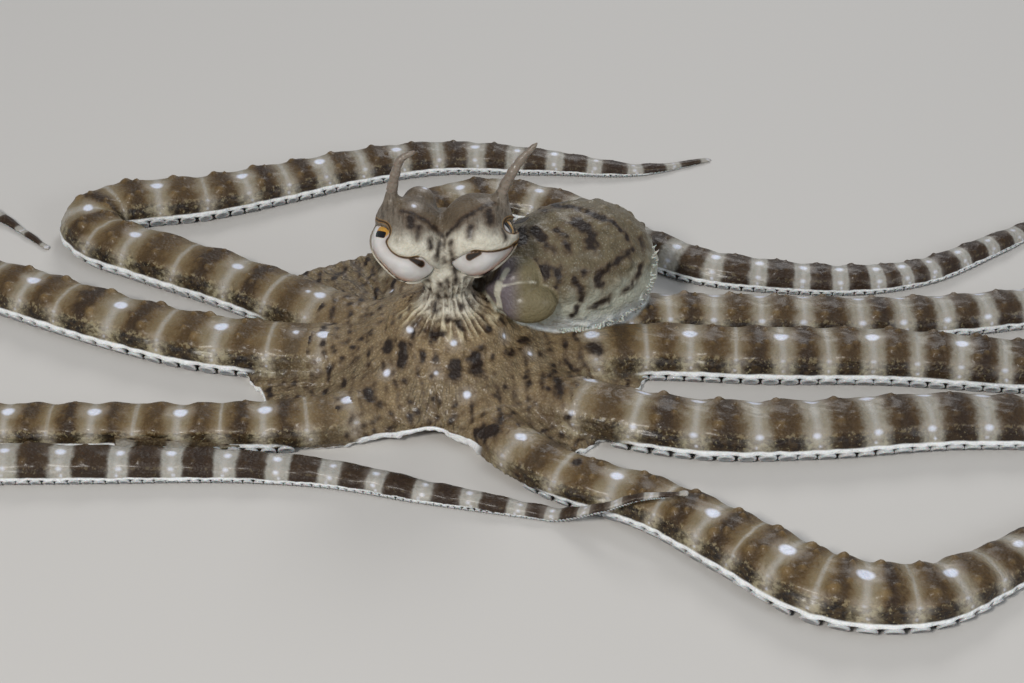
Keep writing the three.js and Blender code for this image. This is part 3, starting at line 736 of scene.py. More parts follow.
def knobs(at):
    """How much each point rises into a knob on an arm's back, from 0 to 1."""
    rise = np.zeros(len(at.x))
    for i, (shift, across, size) in enumerate(KNOBS):
        along, number = at.near_band(shift)
        odd = np.sin(12.9 * number + 4.1 * i + 2.3 * at.arm_number)
        far = at.from_spot(along + 0.05 * odd * at.width, across + 0.08 * odd, 1 - 0.22 * across ** 2)
        radius = size * at.width * (1 + 0.25 * odd)
        rise = np.maximum(rise, np.clip(1 - (far / radius) ** 2, 0, 1) ** 1.4 * (0.8 + 0.2 * odd))
    return rise


def arm_relief(at):
    """Knobs, a groove along the flank, soft swellings at each dark band and a scalloped lower edge."""
    height = 0.055 * at.width * knobs(at)
    height -= 0.014 * at.width * np.exp(-((at.up - 0.7) / 0.07) ** 2)
    height -= 0.018 * at.width * np.cos(2 * math.pi * at.bands) * smoothstep(at.up, 0.4, 0.8)
    edge = np.exp(-(((at.z - at.lift) / at.width - FRINGE_HEIGHT + 0.01) / 0.04) ** 2)
    height += 0.042 * at.width * edge * (0.62 + 0.38 * np.cos(2 * math.pi * at.beat))
    height += 0.13 * noise(at.x, at.y, at.z, 3.0, 4)
    return height * at.free


def web_relief(at):
    """Folds that run out from the neck and between the arms, and a grain of low warts."""
    folds = noise(*(at.web_lay * (1, 1, 1.3)).T, 1.9, 11)
    folds = 1 - 2 * np.abs(folds) ** 0.8
    strong = smoothstep(at.distance, 26, 38) * smoothstep(at.off_arm, 0.3, 2.5)
    warts = np.maximum(0, noise(at.x, at.y, at.z, 2.0, 21) - 0.1)
    grain = noise(at.x, at.y, at.z, 1.1, 23)
    return (0.2 * folds * strong + 0.2 * warts + 0.06 * grain) * (1 - at.free) * (1 - at.body)


def mantle_relief(at):
    lumps = noise(at.x, at.y, at.z, 3.4, 31)
    pimples = np.maximum(0, noise(at.x, at.y, at.z, 2.2, 33) - 0.55)
    return (0.16 * lumps + 0.45 * pimples) * at.mantle


def neck_folds(at):
    """Ridges that run down the neck and spread at its foot: 1 on a ridge, below 0 in a groove."""
    around = np.arctan2(at.x - NECK_FOOT[0], NECK_FOOT[1] - at.y)
    folds = 1 - 2.2 * np.abs(noise(around * 9.5, at.z * 0.18, 0, 1.9, 43)) ** 0.8
    low = (1 - smoothstep(at.z, 27, 31)) * smoothstep(at.z, 15.5, 18.5)
    return folds * low * (1 - smoothstep(at.distance, 11, 15)) * (1 - at.mantle) * (1 - at.funnel)


def head_relief(at):
    """Soft lumps on the brows, and folds down the neck."""
    lumps = noise(at.x, at.y, at.z, 2.6, 41)
    return 0.05 * lumps * at.head + 0.36 * neck_folds(at)


def relief(at):
    return arm_relief(at) + web_relief(at) + mantle_relief(at) + head_relief(at)


# ---------------------------------------------------------------- markings

# Marks read from the photograph: the radius in mm, then a pixel or the pixels of a line. See through_pixel.
WHITE_MARKS = [
    (0.8, (387, 373)), (0.65, (296, 332)), (0.6, (308, 291)), (0.6, (410, 330)),
    (0.6, (454, 343)), (0.5, (504, 336)), (0.5, (530, 354)), (0.8, (467, 395)), (0.35, (392, 291)),
    (0.45, (414, 206)), (0.5, (425, 188)),
    (0.5, (454, 180), (459, 181)), (0.3, (436, 373)),
]
DARK_MARKS = [
    (1.7, (475, 358), (477, 369)), (1.4, (456, 366), (455, 375)), (1.7, (482, 433), (493, 431)),
    (1.3, (402, 347), (401, 362)), (1.2, (389, 343), (388, 350)), (0.7, (425, 332), (441, 334)),
    (0.8, (430, 330), (434, 338)), (0.75, (458, 322), (462, 328)), (0.8, (489, 329)), (0.7, (503, 322)),
    (0.5, (436, 303), (435, 310)), (0.45, (462, 306)), (0.5, (423, 354), (423, 360)), (0.4, (434, 360)),
    (0.6, (482, 349)), (0.7, (520, 341), (527, 339)), (0.6, (513, 351), (508, 355)), (0.6, (526, 377)),
    (0.9, (556, 379), (561, 393)), (0.5, (548, 389)), (0.55, (500, 398), (496, 396)), (0.4, (505, 387)),
    (0.7, (501, 418)), (1.0, (367, 389), (371, 400)), (0.6, (361, 338)), (0.5, (371, 334)),
    (0.6, (381, 322)), (0.45, (372, 314)), (0.4, (352, 347)), (0.4, (342, 358)), (0.4, (336, 351)),
    (1.3, (592, 346), (598, 350)), (1.0, (577, 462)), (0.5, (517, 475)), (0.35, (410, 345)),
    (0.35, (418, 322), (414, 326)), (0.4, (404, 381)), (0.35, (434, 400)), (0.35, (410, 402)),
    (0.4, (569, 417)), (0.35, (552, 354)), (0.4, (565, 360), (571, 368)), (0.35, (541, 383)),
    (0.5, (469, 303)), (0.4, (447, 320)), (0.35, (482, 318)),
]
MANTLE_MARKS = [
    (1.3, (520, 231), (521, 242)), (1.1, (534, 230), (541, 238)), (0.9, (558, 231), (565, 236)),
    (0.7, (566, 244), (567, 249)), (1.7, (577, 222), (584, 227)), (1.2, (590, 232), (592, 246)),
    (1.0, (589, 213), (607, 220)), (0.6, (626, 233), (628, 240)), (0.6, (546, 246), (553, 249)),
    (1.6, (535, 270), (545, 271)), (1.0, (558, 272), (559, 279)), (0.6, (537, 260), (538, 265)),
    (0.5, (584, 272), (586, 275)), (0.6, (575, 279), (580, 289), (581, 300)), (0.5, (615, 224), (620, 229)),
    (0.7, (628, 254), (621, 260), (608, 267)), (0.8, (608, 267), (600, 273), (598, 279), (600, 285)),
    (0.5, (641, 267), (634, 281), (624, 291)), (0.6, (608, 299), (600, 302), (593, 306)),
    (0.4, (578, 307), (572, 316)), (0.8, (510, 210), (530, 207), (556, 206), (580, 208)),
    (0.5, (519, 217), (545, 211)), (0.4, (556, 288)), (0.45, (633, 250)), (0.5, (640, 240), (643, 247)),
]
HEAD_MARKS = [
    (0.42, (493, 203), (480, 209), (466, 217), (455, 227), (447, 235)),
    (0.42, (401, 211), (414, 214), (427, 222), (436, 230), (443, 236)),
    (0.75, (410, 218), (411, 226)), (0.4, (419, 227), (417, 236)), (0.75, (489, 212), (490, 222)),
    (0.4, (471, 227), (469, 236)), (0.3, (503, 231), (506, 238)), (0.3, (430, 240), (431, 247)),
    (0.42, (439, 242), (437, 256), (433, 268), (428, 280)),
    (0.38, (451, 242), (453, 258), (455, 270), (456, 284)),
    (0.22, (445, 240), (445, 262)), (0.3, (441, 284), (438, 298)), (0.3, (447, 280), (447, 296)),
    (0.35, (420, 290), (409, 300), (400, 306)), (0.3, (430, 289), (424, 299)), (0.3, (470, 284), (475, 296)),
    # A painted shadow: the dark cavity between the neck and the funnel, brown black.
    (1.2, (487, 274), (491, 288), (489, 299)),
]
RIM_MARKS = [
    (0.45, (507, 270), (502, 278)), (0.7, (499, 284), (497, 296), (500, 306)),
    (0.3, (500, 306), (504, 315)), (0.02, (503, 286), (516, 283), (532, 282), (548, 285)),
]


def camera_ray(across, down):
    """The camera's place and the direction through a pixel of its 1024 by 683 picture."""
    reach = PICTURE_MIDDLE[0] / math.tan(math.radians(CAMERA_WIDTH / 2))
    right, up = (across - PICTURE_MIDDLE[0]) / reach, (PICTURE_MIDDLE[1] - down) / reach
    return np.array(CAMERA_PLACE), unit(np.array((right, 0, 0)) + VIEW_UP * up - VIEW_BACK)


def through_pixel(tree, across, down):
    """Where the camera's ray through a pixel of its picture first meets the skin."""
    place, way = camera_ray(across, down)
    hit = tree.ray_cast(Vector(place * MM), Vector(way))[0]
    return None if hit is None else np.array(hit) / MM


def from_marks(at, tree, marks, wobble):
    """Distance from the nearest mark's edge, which wanders by the wobble."""
    farthest = 9.0
    nearest = np.full(len(at.x), farthest)
    places = np.stack([at.x, at.y, at.z], 1)
    for radius, *pixels in marks:
        spots = [through_pixel(tree, *pixel) for pixel in pixels]
        spots = [spot for spot in spots if spot is not None]
        for start, end in zip(spots, spots[1:] or spots):
            middle, room = (start + end) / 2, np.linalg.norm(end - start) / 2 + farthest
            close = np.flatnonzero((np.abs(places[:, 0] - middle[0]) < room)
                                   & (np.abs(places[:, 1] - middle[1]) < room))
            away, along = places[close] - start, end - start
            share = np.clip(away @ along / (along @ along + 1e-9), 0, 1)
            far = np.linalg.norm(away - share[:, None] * along, axis=1)
            nearest[close] = np.minimum(nearest[close], far - radius)
    return nearest + wobble * noise(at.x, at.y, at.z, 1.5, 51)


PALE_SHARE = 0.40                    # how much of the pitch a pale band takes


def band_cycle(at):
    """0 in the middle of a pale band, 0.5 at its edge and 1 in the middle of a dark one."""
    number = np.round(at.bands)
    off = np.abs(at.bands - number)
    spotted = np.cos(np.pi * number) * (1 - at.out) * ~at.paired
    uneven = 0.05 * np.sin(5.1 * number + 2.3 * at.arm_number)
    edge = (PALE_SHARE + 0.13 * spotted + uneven) / 2
    return np.where(off < edge, 0.5 * off / edge, 0.5 + 0.5 * (off - edge) / (0.5 - edge))


def arm_white(at):
    """Distance from the edge of the white spots on an arm's back and flanks."""
    along, number = at.near_band()
    odd = np.sin(3.3 * number + at.arm_number)
    middle = at.from_spot(along * 0.8 + 0.3 * odd, 0.0, 1.0) - (0.075 + 0.01 * odd) * at.width
    spotted = np.cos(np.pi * number) + 2 * (at.out > 0.75)
    middle = np.where(spotted > 0, middle, 5.0)
    pair = at.from_spot(along * 0.5, 0.5, 0.95) - 0.045 * at.width + 9 * (at.side > 0)
    back = np.where(at.paired, pair, middle)
    flank = at.from_spot(along * 0.8 + 0.2 * odd, 0.9, 0.78) - (0.02 + 0.03 * at.out) * at.width
    flank -= 0.016 * at.width * at.paired
    low = at.from_spot(along - 0.5 * odd, 0.99, 0.52) - (0.008 + 0.018 * at.out) * at.width
    return np.where(at.arm > 0.4, np.minimum.reduce([back, flank, low]), 5.0)


def fringe(at):
    """The white line along an arm's lower edge and round the web. Along an arm it is white pigment and partly
    a painted highlight, where the edge catches the light.
    """
    line = np.exp(-(((at.z - at.lift) / at.width - FRINGE_HEIGHT) / 0.042) ** 2) * at.free
    reach = web_reach(at.degrees)
    rim = smoothstep(at.distance, reach - 1.9, reach - 1.2)
    rise = at.z - web_lift(at.distance, at.degrees)
    rim = rim * (1 - smoothstep(rise, 0.8, 1.5)) * (1 - smoothstep(at.arm, 0.3, 0.6)) * (1 - at.body)
    return np.maximum(line * smoothstep(at.width, 2.5, 4.5), rim)


def head_cream(at):
    """The pale lower brows, nose, neck and the folds that spread from it."""
    cream = np.zeros(len(at.x))
    for eye in EYES.values():
        across, up, near = eye_view(at.x, at.y, at.z, eye["ball"])
        own = (1 - smoothstep(np.abs(across), 7.8, 9)) * smoothstep(near, -2, 1)
        wander = 0.8 * noise(across, up, near, 3.2, 79)
        cream = np.maximum(cream, own * np.clip((4.8 - up + wander) / 5.8, 0, 1))
    front = smoothstep(6 - at.y, 0, 6)
    neck = (1 - smoothstep(at.z, 33, 37)) * front * at.head
    skirt = (1 - smoothstep(at.distance, 9, 14.5)) * (1 - smoothstep(np.abs(at.degrees + 90), 70, 105))
    spread = skirt * front * smoothstep(neck_folds(at), -0.1, 0.6)
    return np.clip(np.maximum.reduce([cream * at.head, neck, spread]), 0, 1)


def behind_brows(at):
    """The brown top of the head, which shows above the ridges of the brows."""
    behind = np.zeros(len(at.x))
    for name, ((x0, y0), (x1, y1)) in BROWS.items():
        across, up, _ = eye_view(at.x, at.y, at.z, EYES[name]["ball"])
        share = (across - x0) / (x1 - x0)
        above = smoothstep(up - y0 - share * (y1 - y0), 0.2, 1.3)
        behind = np.maximum(behind, above * smoothstep(share, -0.2, 0.15) * (share < 1.06))
    return behind * at.head


def from_pit(name, across, up):
    """Distance from the edge of the pit in an eye's inner corner, which is painted dark as shade, and how far
    inward of it.
    """
    (x0, y0), (x1, y1) = LIDS[name]["pit"]
    run, rise = x1 - x0, y1 - y0
    share = np.clip(((across - x0) * run + (up - y0) * rise) / (run ** 2 + rise ** 2), 0, 1)
    off = np.hypot(across - x0 - share * run, up - y0 - share * rise)
    return off - 0.2 - 0.42 * share, (across - x1) * np.sign(run)


def lid_rim_and_shade(at):
    """How near each point of the head is to the edge of a lid or in the pit of its inner corner: gold brown
    along the edge, with painted shade in the crease at the very edge and in the pit.
    """
    line = np.zeros(len(at.x))
    for name, eye in EYES.items():
        across, up, near = eye_view(at.x, at.y, at.z, eye["ball"])
        depth = ball_field(name, at.x, at.y, at.z)
        pit, inward = from_pit(name, across, up)
        close = (near > -1) & (depth < 2.2)
        edge = bump(lid_edge(name, across, up), 0.0, 0.5) * (1 - smoothstep(inward, -1, 0.3))
        line = np.where(close, np.maximum.reduce([line, edge, 1.2 * smoothstep(pit, 0.35, -0.1)]), line)
    return line


def mantle_stain(at):
    """Blotches on the parts of the mantle that the photograph doesn't show."""
    share, _, length = about_axis(at.x, at.y, at.z, MANTLE_FRONT, MANTLE_BACK)
    blots = noise(share * length * 0.8, at.z, at.y * 0.5, 3.4, 81)
    hidden = smoothstep(at.y - 0.62 * (at.x - 20) + 8 * smoothstep(share, 0.7, 0.95), 18, 26)
    return (0.9 - blots) * 2.2 + 9 * (1 - hidden)


def dark_spots_and_shadow(at, tree):
    """Distance from the edge of the dark spots of the web, the head and the mantle, and of the painted shadow
    in the cavity between the neck and the funnel.
    """
    specks = 0.66 - noise(at.x, at.y, at.z, 2.1, 61) * 0.7 + 0.5 * (1 - smoothstep(at.distance, 12, 30))
    specks = np.where((at.arm < 0.6) & (at.body < 0.3), specks, 9)
    head = from_marks(at, tree, HEAD_MARKS, 0.12) + 9 * (at.head < 0.1)
    mantle = np.minimum(from_marks(at, tree, MANTLE_MARKS, 0.35), mantle_stain(at)) + 9 * (1 - at.mantle)
    return np.minimum.reduce([from_marks(at, tree, DARK_MARKS, 0.3), specks, head, mantle])


def markings(at, tree):
    """What the skin's shader reads, one value for each point."""
    on_arm = at.arm > 0.01
    odd_arm = np.sin(7.7 * np.floor(at.bands) + 3.1 * at.arm_number)
    second_band = 0.5 * (1 - np.cos(np.pi * np.round(at.bands)))
    # Where an arm's underside, between its suckers, is painted a pale grey as light against its shadow.
    under = 1 - smoothstep(at.z - at.lift, 0.06 * at.width, 0.12 * at.width)
    return {
        "arm": at.arm,
        "head": at.head,
        "mantle": at.mantle,
        "funnel": at.funnel,
        "web": smoothstep(at.off_arm, 0.4, 2.2) * (1 - at.body) * smoothstep(at.distance, 14, 24),
        "cycle": np.where(on_arm, band_cycle(at), 0.6),
        "up": np.where(on_arm, at.up, 0.9),
        "tail": at.out * at.arm,
        "shade": 0.5 + 0.5 * odd_arm,
        "plain": second_band * (1 - at.out) * ~at.paired,
        "white": np.minimum(arm_white(at), from_marks(at, tree, WHITE_MARKS, 0.08)),
        "dark": dark_spots_and_shadow(at, tree),
        "under": under * at.arm,
        "fringe": fringe(at),
        "knob": knobs(at) * at.free,
        "cream": head_cream(at),
        "behind": behind_brows(at),
        "lid": lid_rim_and_shade(at),
        # groove: where the painted shade of the neck's grooves goes.
        "groove": smoothstep(neck_folds(at), -0.05, -0.6),
        "rim": 1 - smoothstep(from_marks(at, tree, RIM_MARKS, 0.05), -0.1, 0.4),
        "violet": 1 - smoothstep(at.x, 10.5, 15.0),
    }


# ---------------------------------------------------------------- materials


class Nodes:
    """Short names for the nodes of one material. A value is a number, a colour or another node's output."""

    def __init__(self, name):
        self.material = bpy.data.materials.new(name)
        self.material.use_nodes = True
        self.tree = self.material.node_tree
        self.shader = self.tree.nodes["Principled BSDF"]

    def put(self, socket, value):
        if hasattr(value, "is_output"):
            self.tree.links.new(value, socket)
        else:
            socket.default_value = value

    def read(self, name, output="Fac"):
        """What paint() stored under the name."""
        node = self.tree.nodes.new("ShaderNodeAttribute")
        node.attribute_name = name
        return node.outputs[output]

    def maths(self, kind, a, b):
        node = self.tree.nodes.new("ShaderNodeMath")
        node.operation = kind
        self.put(node.inputs[0], a)
        self.put(node.inputs[1], b)
        return node.outputs[0]

    def plus(self, a, b):
        return self.maths("ADD", a, b)

    def minus(self, a, b):
        return self.maths("SUBTRACT", a, b)

    def times(self, *values):
        total = values[0]
        for value in values[1:]:
            total = self.maths("MULTIPLY", total, value)
        return total

    def step(self, value, low, high):
        """0 below low, 1 above high and smooth between. low may be above high, which turns it over."""
        node = self.tree.nodes.new("ShaderNodeMapRange")
        node.interpolation_type = "SMOOTHSTEP"
        turned = not hasattr(low, "is_output") and not hasattr(high, "is_output") and low > high
        self.put(node.inputs["Value"], value)
        self.put(node.inputs["From Min"], high if turned else low)
        self.put(node.inputs["From Max"], low if turned else high)
        self.put(node.inputs["To Min"], 1.0 if turned else 0.0)
        self.put(node.inputs["To Max"], 0.0 if turned else 1.0)
        return node.outputs["Result"]

    def mix(self, share, a, b):
        node = self.tree.nodes.new("ShaderNodeMix")
        node.data_type = "RGBA"
        self.put(node.inputs[0], share)
        self.put(node.inputs[6], tone(a) if isinstance(a, str) else a)
        self.put(node.inputs[7], tone(b) if isinstance(b, str) else b)
        return node.outputs[2]

    def vector(self, name, scale=(1, 1, 1)):
        """A place on the skin that runs with its form, stretched by the scale."""
        node = self.tree.nodes.new("ShaderNodeMapping")
        node.inputs["Scale"].default_value = scale
        self.put(node.inputs["Vector"], self.read(name, "Vector"))
        return node.outputs[0]

    def space(self):
        return self.tree.nodes.new("ShaderNodeTexCoord").outputs["Object"]

    def noise(self, size, detail=3.0, rough=0.55, lay=None):
        """Noise whose lumps are about size mm across, in space or over a place from vector()."""
        node = self.tree.nodes.new("ShaderNodeTexNoise")
        self.put(node.inputs["Vector"], lay or self.space())
        node.inputs["Scale"].default_value = 1 / size if lay else 1 / (size * MM)
        node.inputs["Detail"].default_value = detail
        node.inputs["Roughness"].default_value = rough
        return node.outputs["Fac"]

    def wander(self, amount, *noise):
        """Noise about 0, most of it within a quarter of the amount."""
        return self.times(self.minus(self.noise(*noise), 0.5), amount)

    def cells(self, size, feature="F1"):
        node = self.tree.nodes.new("ShaderNodeTexVoronoi")
        node.feature = feature
        self.put(node.inputs["Vector"], self.space())
        node.inputs["Scale"].default_value = 1 / (size * MM)
        return node.outputs["Distance"]

    def bumps(self, *layers):
        """Bump from (height socket, depth in mm) layers."""
        normal = None
        for height, depth in layers:
            node = self.tree.nodes.new("ShaderNodeBump")
            node.inputs["Distance"].default_value = depth * MM
            self.put(node.inputs["Height"], height)
            if normal is not None:
                self.put(node.inputs["Normal"], normal)
            normal = node.outputs[0]
        self.put(self.shader.inputs["Normal"], normal)

    def set(self, **values):
        for name, value in values.items():
            self.put(self.shader.inputs[name.replace("_", " ")], value)


def tone(code):
    """A linear colour from a six-digit screen colour."""
    parts = [int(code[i:i + 2], 16) / 255 for i in (0, 2, 4)]
    return (*[v / 12.92 if v <= 0.04045 else ((v + 0.055) / 1.055) ** 2.4 for v in parts], 1)


def arm_colour(n):
    """Dark and pale bands, which sharpen and gain contrast towards the arm's tip."""
    cycle, up, tail = (n.read(name) for name in ("cycle", "up", "tail"))
    wander = n.wander(0.8, 3.0, 4, 0.6)
    ragged = n.wander(0.35, 0.8, 3, 0.6)
    calm = n.minus(1.0, n.times(tail, 0.7))
    place = n.plus(cycle, n.times(n.plus(wander, ragged), calm))
    soft = n.minus(0.3, n.times(tail, 0.22))
    dark = n.step(place, n.minus(0.5, soft), n.plus(0.5, soft))
    rise = n.plus(up, n.wander(0.25, 1.6, 3))
    flank = n.step(rise, 0.8, 0.7)
    grain = n.noise(0.8, 5, 0.65)
    mottle = n.step(n.noise(1.1, 4, 0.62, n.vector("arm_lay", (0.7, 1, 1))), 0.4, 0.6)
    strength = n.plus(0.4, n.times(n.read("shade"), 0.6))
    core = n.times(n.step(place, 0.55, 0.95), strength)
    brown = n.mix(core, n.mix(grain, "46341a", "745b34"), n.mix(grain, "25180b", "3f2d18"))
    brown = n.mix(flank, brown, n.mix(mottle, "1b120a", "41321c"))
    brown = n.mix(n.times(tail, 0.85), brown, n.mix(grain, "1f130c", "392717"))
    pale = n.mix(n.noise(1.5, 4), "6f6148", "9b8e72")
    pale = n.mix(n.times(n.read("plain"), 0.5), pale, "7d6a4a")
    pale = n.mix(flank, pale, n.mix(mottle, "5a4f37", "a0977b"))
    pale = n.mix(n.times(tail, 0.9), pale, n.mix(n.noise(1.2, 4), "858377", "b8b8b4"))
    pale = n.mix(n.times(n.step(cycle, 0.28, 0.0), n.step(up, 0.5, 0.7), 0.45), pale, "c2c0bb")
    colour = n.mix(dark, pale, brown)
    flecks = n.step(n.noise(0.9, 3, 0.6, n.vector("arm_lay")), 0.5, 0.62)
    line = n.times(n.step(up, 0.68, 0.74), n.step(up, 0.84, 0.78), flecks, calm)
    colour = n.mix(n.times(line, 0.5), colour, "aa9b78")
    low_flecks = n.times(n.step(n.noise(0.7, 2, 0.5, n.vector("arm_lay")), 0.6, 0.7), flank, calm)
    colour = n.mix(n.times(low_flecks, 0.5), colour, "a59a76")
    return n.mix(n.times(n.read("knob"), calm, 0.6), colour, "8a7148")


def web_colour(n):
    """Tan with a fine pale grain, and dark streaks that run out between the arms."""
    tan = n.mix(n.noise(5.0, 5, 0.62), "6f5d42", "a9936e")
    fold = n.noise(0.55, 3, 0.6, n.vector("web_lay", (1, 1, 1.6)))
    tan = n.mix(n.times(n.read("web"), 0.6), tan, "776a50")
    tan = n.mix(n.times(n.step(fold, 0.5, 0.64), n.read("web"), 0.8), tan, "352c20")
    net = n.step(n.cells(0.75, "DISTANCE_TO_EDGE"), 0.2, 0.02)
    tan = n.mix(n.times(net, 0.35), tan, "54483a")
    return n.mix(n.times(n.step(n.cells(0.75), 0.4, 0.1), 0.35), tan, "b7a892")


def head_colour(n):
    """Brown grey, which turns to cream on the lower brows, the nose and the neck."""
    grey = n.mix(n.noise(1.6, 5, 0.6), "564b3e", "8a8072")
    streak = n.step(n.noise(0.7, 3, 0.6, n.vector("head_lay")), 0.5, 0.62)
    grey = n.mix(n.times(streak, 0.55), grey, "3c3125")
    cream = n.mix(n.noise(1.8, 3), "bab29d", "dfdccf")
    fuzz = n.wander(0.5, 1.2, 3)
    shown = n.mix(n.step(n.plus(n.read("cream"), fuzz), 0.0, 0.95), grey, cream)
    brown = n.mix(n.noise(2.2, 4, 0.6), "35291d", "7a6a53")
    shown = n.mix(n.times(n.read("behind"), 0.85), shown, brown)
    shown = n.mix(n.step(n.read("lid"), 0.1, 0.5), shown, "92703f")
    # Painted shade: the dark crease at the lid's edge and the pit of the inner corner.
    return n.mix(n.step(n.read("lid"), 0.45, 0.9), shown, "33210f")


def mantle_colour(n):
    """Brown grey above and pale grey below, the mantle's own colours, and a near white lowest edge that is
    partly painted light against the shade there.
    """
    drift = n.wander(0.5, 4.0, 3)
    low = n.step(n.plus(n.read("height"), drift), 0.95, 0.5)
    back = n.mix(n.noise(1.8, 5, 0.62), "463b2a", "84785d")
    pale = n.mix(n.noise(1.6, 4), "979989", "cccdbd")
    edge = n.mix(n.noise(1.3, 4), "b3b7b4", "eaedec")
    shown = n.mix(low, back, pale)
    # Painted light in part: the lowest edge is lifted to near white against its shade.
    shown = n.mix(n.step(n.plus(n.read("height"), drift), 0.5, 0.2), shown, edge)
    fine = n.step(n.cells(0.7), 0.36, 0.1)
    return n.mix(n.times(fine, 0.25), shown, "c0beb0")


def funnel_colour(n):
    """Clear olive, with a violet tinge on the near side and a paler edge."""
    olive = n.mix(n.noise(2.2, 4), "64593f", "837a5c")
    violet = n.mix(n.noise(1.5, 3), "625859", "787076")
    shown = n.mix(n.read("violet"), olive, violet)
    return n.mix(n.times(n.read("rim"), 0.85), shown, "cfccbb")


def skin_material():
    n = Nodes("octopus_skin")
    colour = n.mix(n.read("cream"), web_colour(n), "d3c6a4")
    colour = n.mix(n.read("arm"), colour, arm_colour(n))
    colour = n.mix(n.read("head"), colour, head_colour(n))
    colour = n.mix(n.read("mantle"), colour, mantle_colour(n))
    colour = n.mix(n.read("funnel"), colour, funnel_colour(n))
    # Painted shade in the neck's grooves, in patches.
    groove = n.times(n.read("groove"), n.step(n.noise(1.4, 3), 0.35, 0.6), 0.75)
    colour = n.mix(groove, colour, "4a3826")
    halo = n.step(n.read("white"), 2.4, 0.1)
    colour = n.mix(n.times(halo, 0.35), colour, "b3aaa0")
    fuzz = n.wander(1.1, 1.0, 3)
    # The dark spots and blotches, and the painted shadow in the cavity between the neck and the funnel.
    blotch_and_shadow = n.plus(n.read("dark"), fuzz)
    colour = n.mix(n.times(n.step(blotch_and_shadow, 1.3, 0.1), 0.55), colour, "54402d")
    colour = n.mix(n.times(n.step(blotch_and_shadow, 0.6, -0.5), 0.95), colour, "1d110a")
    # Painted light: the arm's underside between the suckers is lifted to a pale grey against its shadow.
    colour = n.mix(n.read("under"), colour, "8d8078")
    # The fringe: white pigment, and on the arms partly a painted highlight along the edge.
    white = n.mix(n.noise(0.8, 3), "e2e6e6", "ffffff")
    colour = n.mix(n.step(n.read("fringe"), 0.25, 0.7), colour, white)
    colour = n.mix(n.step(n.read("white"), 0.45, -0.35), colour, "e1e5f2")
    n.set(Base_Color=colour, Subsurface_Weight=0.1, Subsurface_Scale=0.0014)
    n.shader.inputs["Subsurface Radius"].default_value = (1.0, 0.55, 0.35)
    n.set(Roughness=n.plus(0.38, n.times(n.noise(0.7, 2), 0.25)))
    n.set(Coat_Weight=0.15, Coat_Roughness=0.2, IOR=1.38)
    n.bumps((n.noise(0.4, 2), 0.12), (n.cells(0.75), -0.16), (n.noise(1.8, 3), 0.3))
    return n.material


# ---------------------------------------------------------------- meshes


def mesh_piece(name, points, material, *groups):
    """A smooth Blender object from points in millimetres and groups of faces of equal size."""
    sizes = np.concatenate([np.full(len(group), group.shape[1], np.int32) for group in groups])
    mesh = bpy.data.meshes.new(name)
    mesh.vertices.add(len(points))
    mesh.vertices.foreach_set("co", (np.asarray(points, np.float32) * MM).ravel())
    mesh.loops.add(int(sizes.sum()))
    corners = np.concatenate([group.ravel() for group in groups])
    mesh.loops.foreach_set("vertex_index", corners.astype(np.int32))
    mesh.polygons.add(len(sizes))
    mesh.polygons.foreach_set("loop_start", np.cumsum(sizes, dtype=np.int32) - sizes)
    mesh.update(calc_edges=True)
    mesh.polygons.foreach_set("use_smooth", np.ones(len(sizes), bool))
    mesh.materials.append(material)
    piece = bpy.data.objects.new(name, mesh)
    bpy.context.scene.collection.objects.link(piece)
    return piece


def ring_quads(count, sides):
    """Faces between rings of points that follow one another."""
    index = np.arange(count * sides).reshape(count, sides)
    around = np.roll(index, -1, axis=1)
    return np.stack([index[:-1], index[1:], around[1:], around[:-1]], -1).reshape(-1, 4)


def ring_cap(first, sides, tip):
    """Triangles from the ring that starts at the point numbered first to a tip."""
    ring = first + np.arange(sides)
    return np.stack([np.full(sides, tip), ring, np.roll(ring, -1)], 1)


def paint(piece, **values):
    """Stores a number, or a place, for each point of the piece, for its material to read."""
    for name, value in values.items():
        value = np.asarray(value, np.float32)
        layer = piece.data.attributes.new(name, "FLOAT" if value.ndim == 1 else "FLOAT_VECTOR", "POINT")
        layer.data.foreach_set("value" if value.ndim == 1 else "vector", value.ravel())


def attach(piece, slot, *nodes):
    """Fixes the piece to the body, in place of the nodes that it replaces."""
    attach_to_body(piece, "root")
    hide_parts(*nodes)


def skin():
    """Makes the skin. Returns it as a tree that rays can be cast at."""
    points, faces = surface_net(octopus_field())
    at = Places(points)
    points = points + face_normals_to_points(points, faces) * relief(at)[:, None]
    points[:, 2] = np.maximum(points[:, 2], 0.02)
    piece = mesh_piece("skin", points, skin_material(), faces)
    across, up, near = eye_view(*points.T, (0, 0, 0))
    head_lay = np.stack([across, up * 0.22, near * 0.22], 1)
    paint(piece, head_lay=head_lay, arm_lay=at.arm_lay, web_lay=at.web_lay)
    tree = BVHTree.FromPolygons((points * MM).tolist(), faces.tolist())
    paint(piece, height=smoothstep(points[:, 2], 2, 28), **markings(at, tree))
    flesh = [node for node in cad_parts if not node.startswith(("eye_left", "eye_right", "horn"))]
    attach(piece, "banded_skin", *flesh)
    return tree


# ---------------------------------------------------------------- eyes and horns

PUPIL_TILT = 18                      # degrees that a pupil's outer end is higher
EYE_ROUNDS, EYE_ROWS = 120, 90


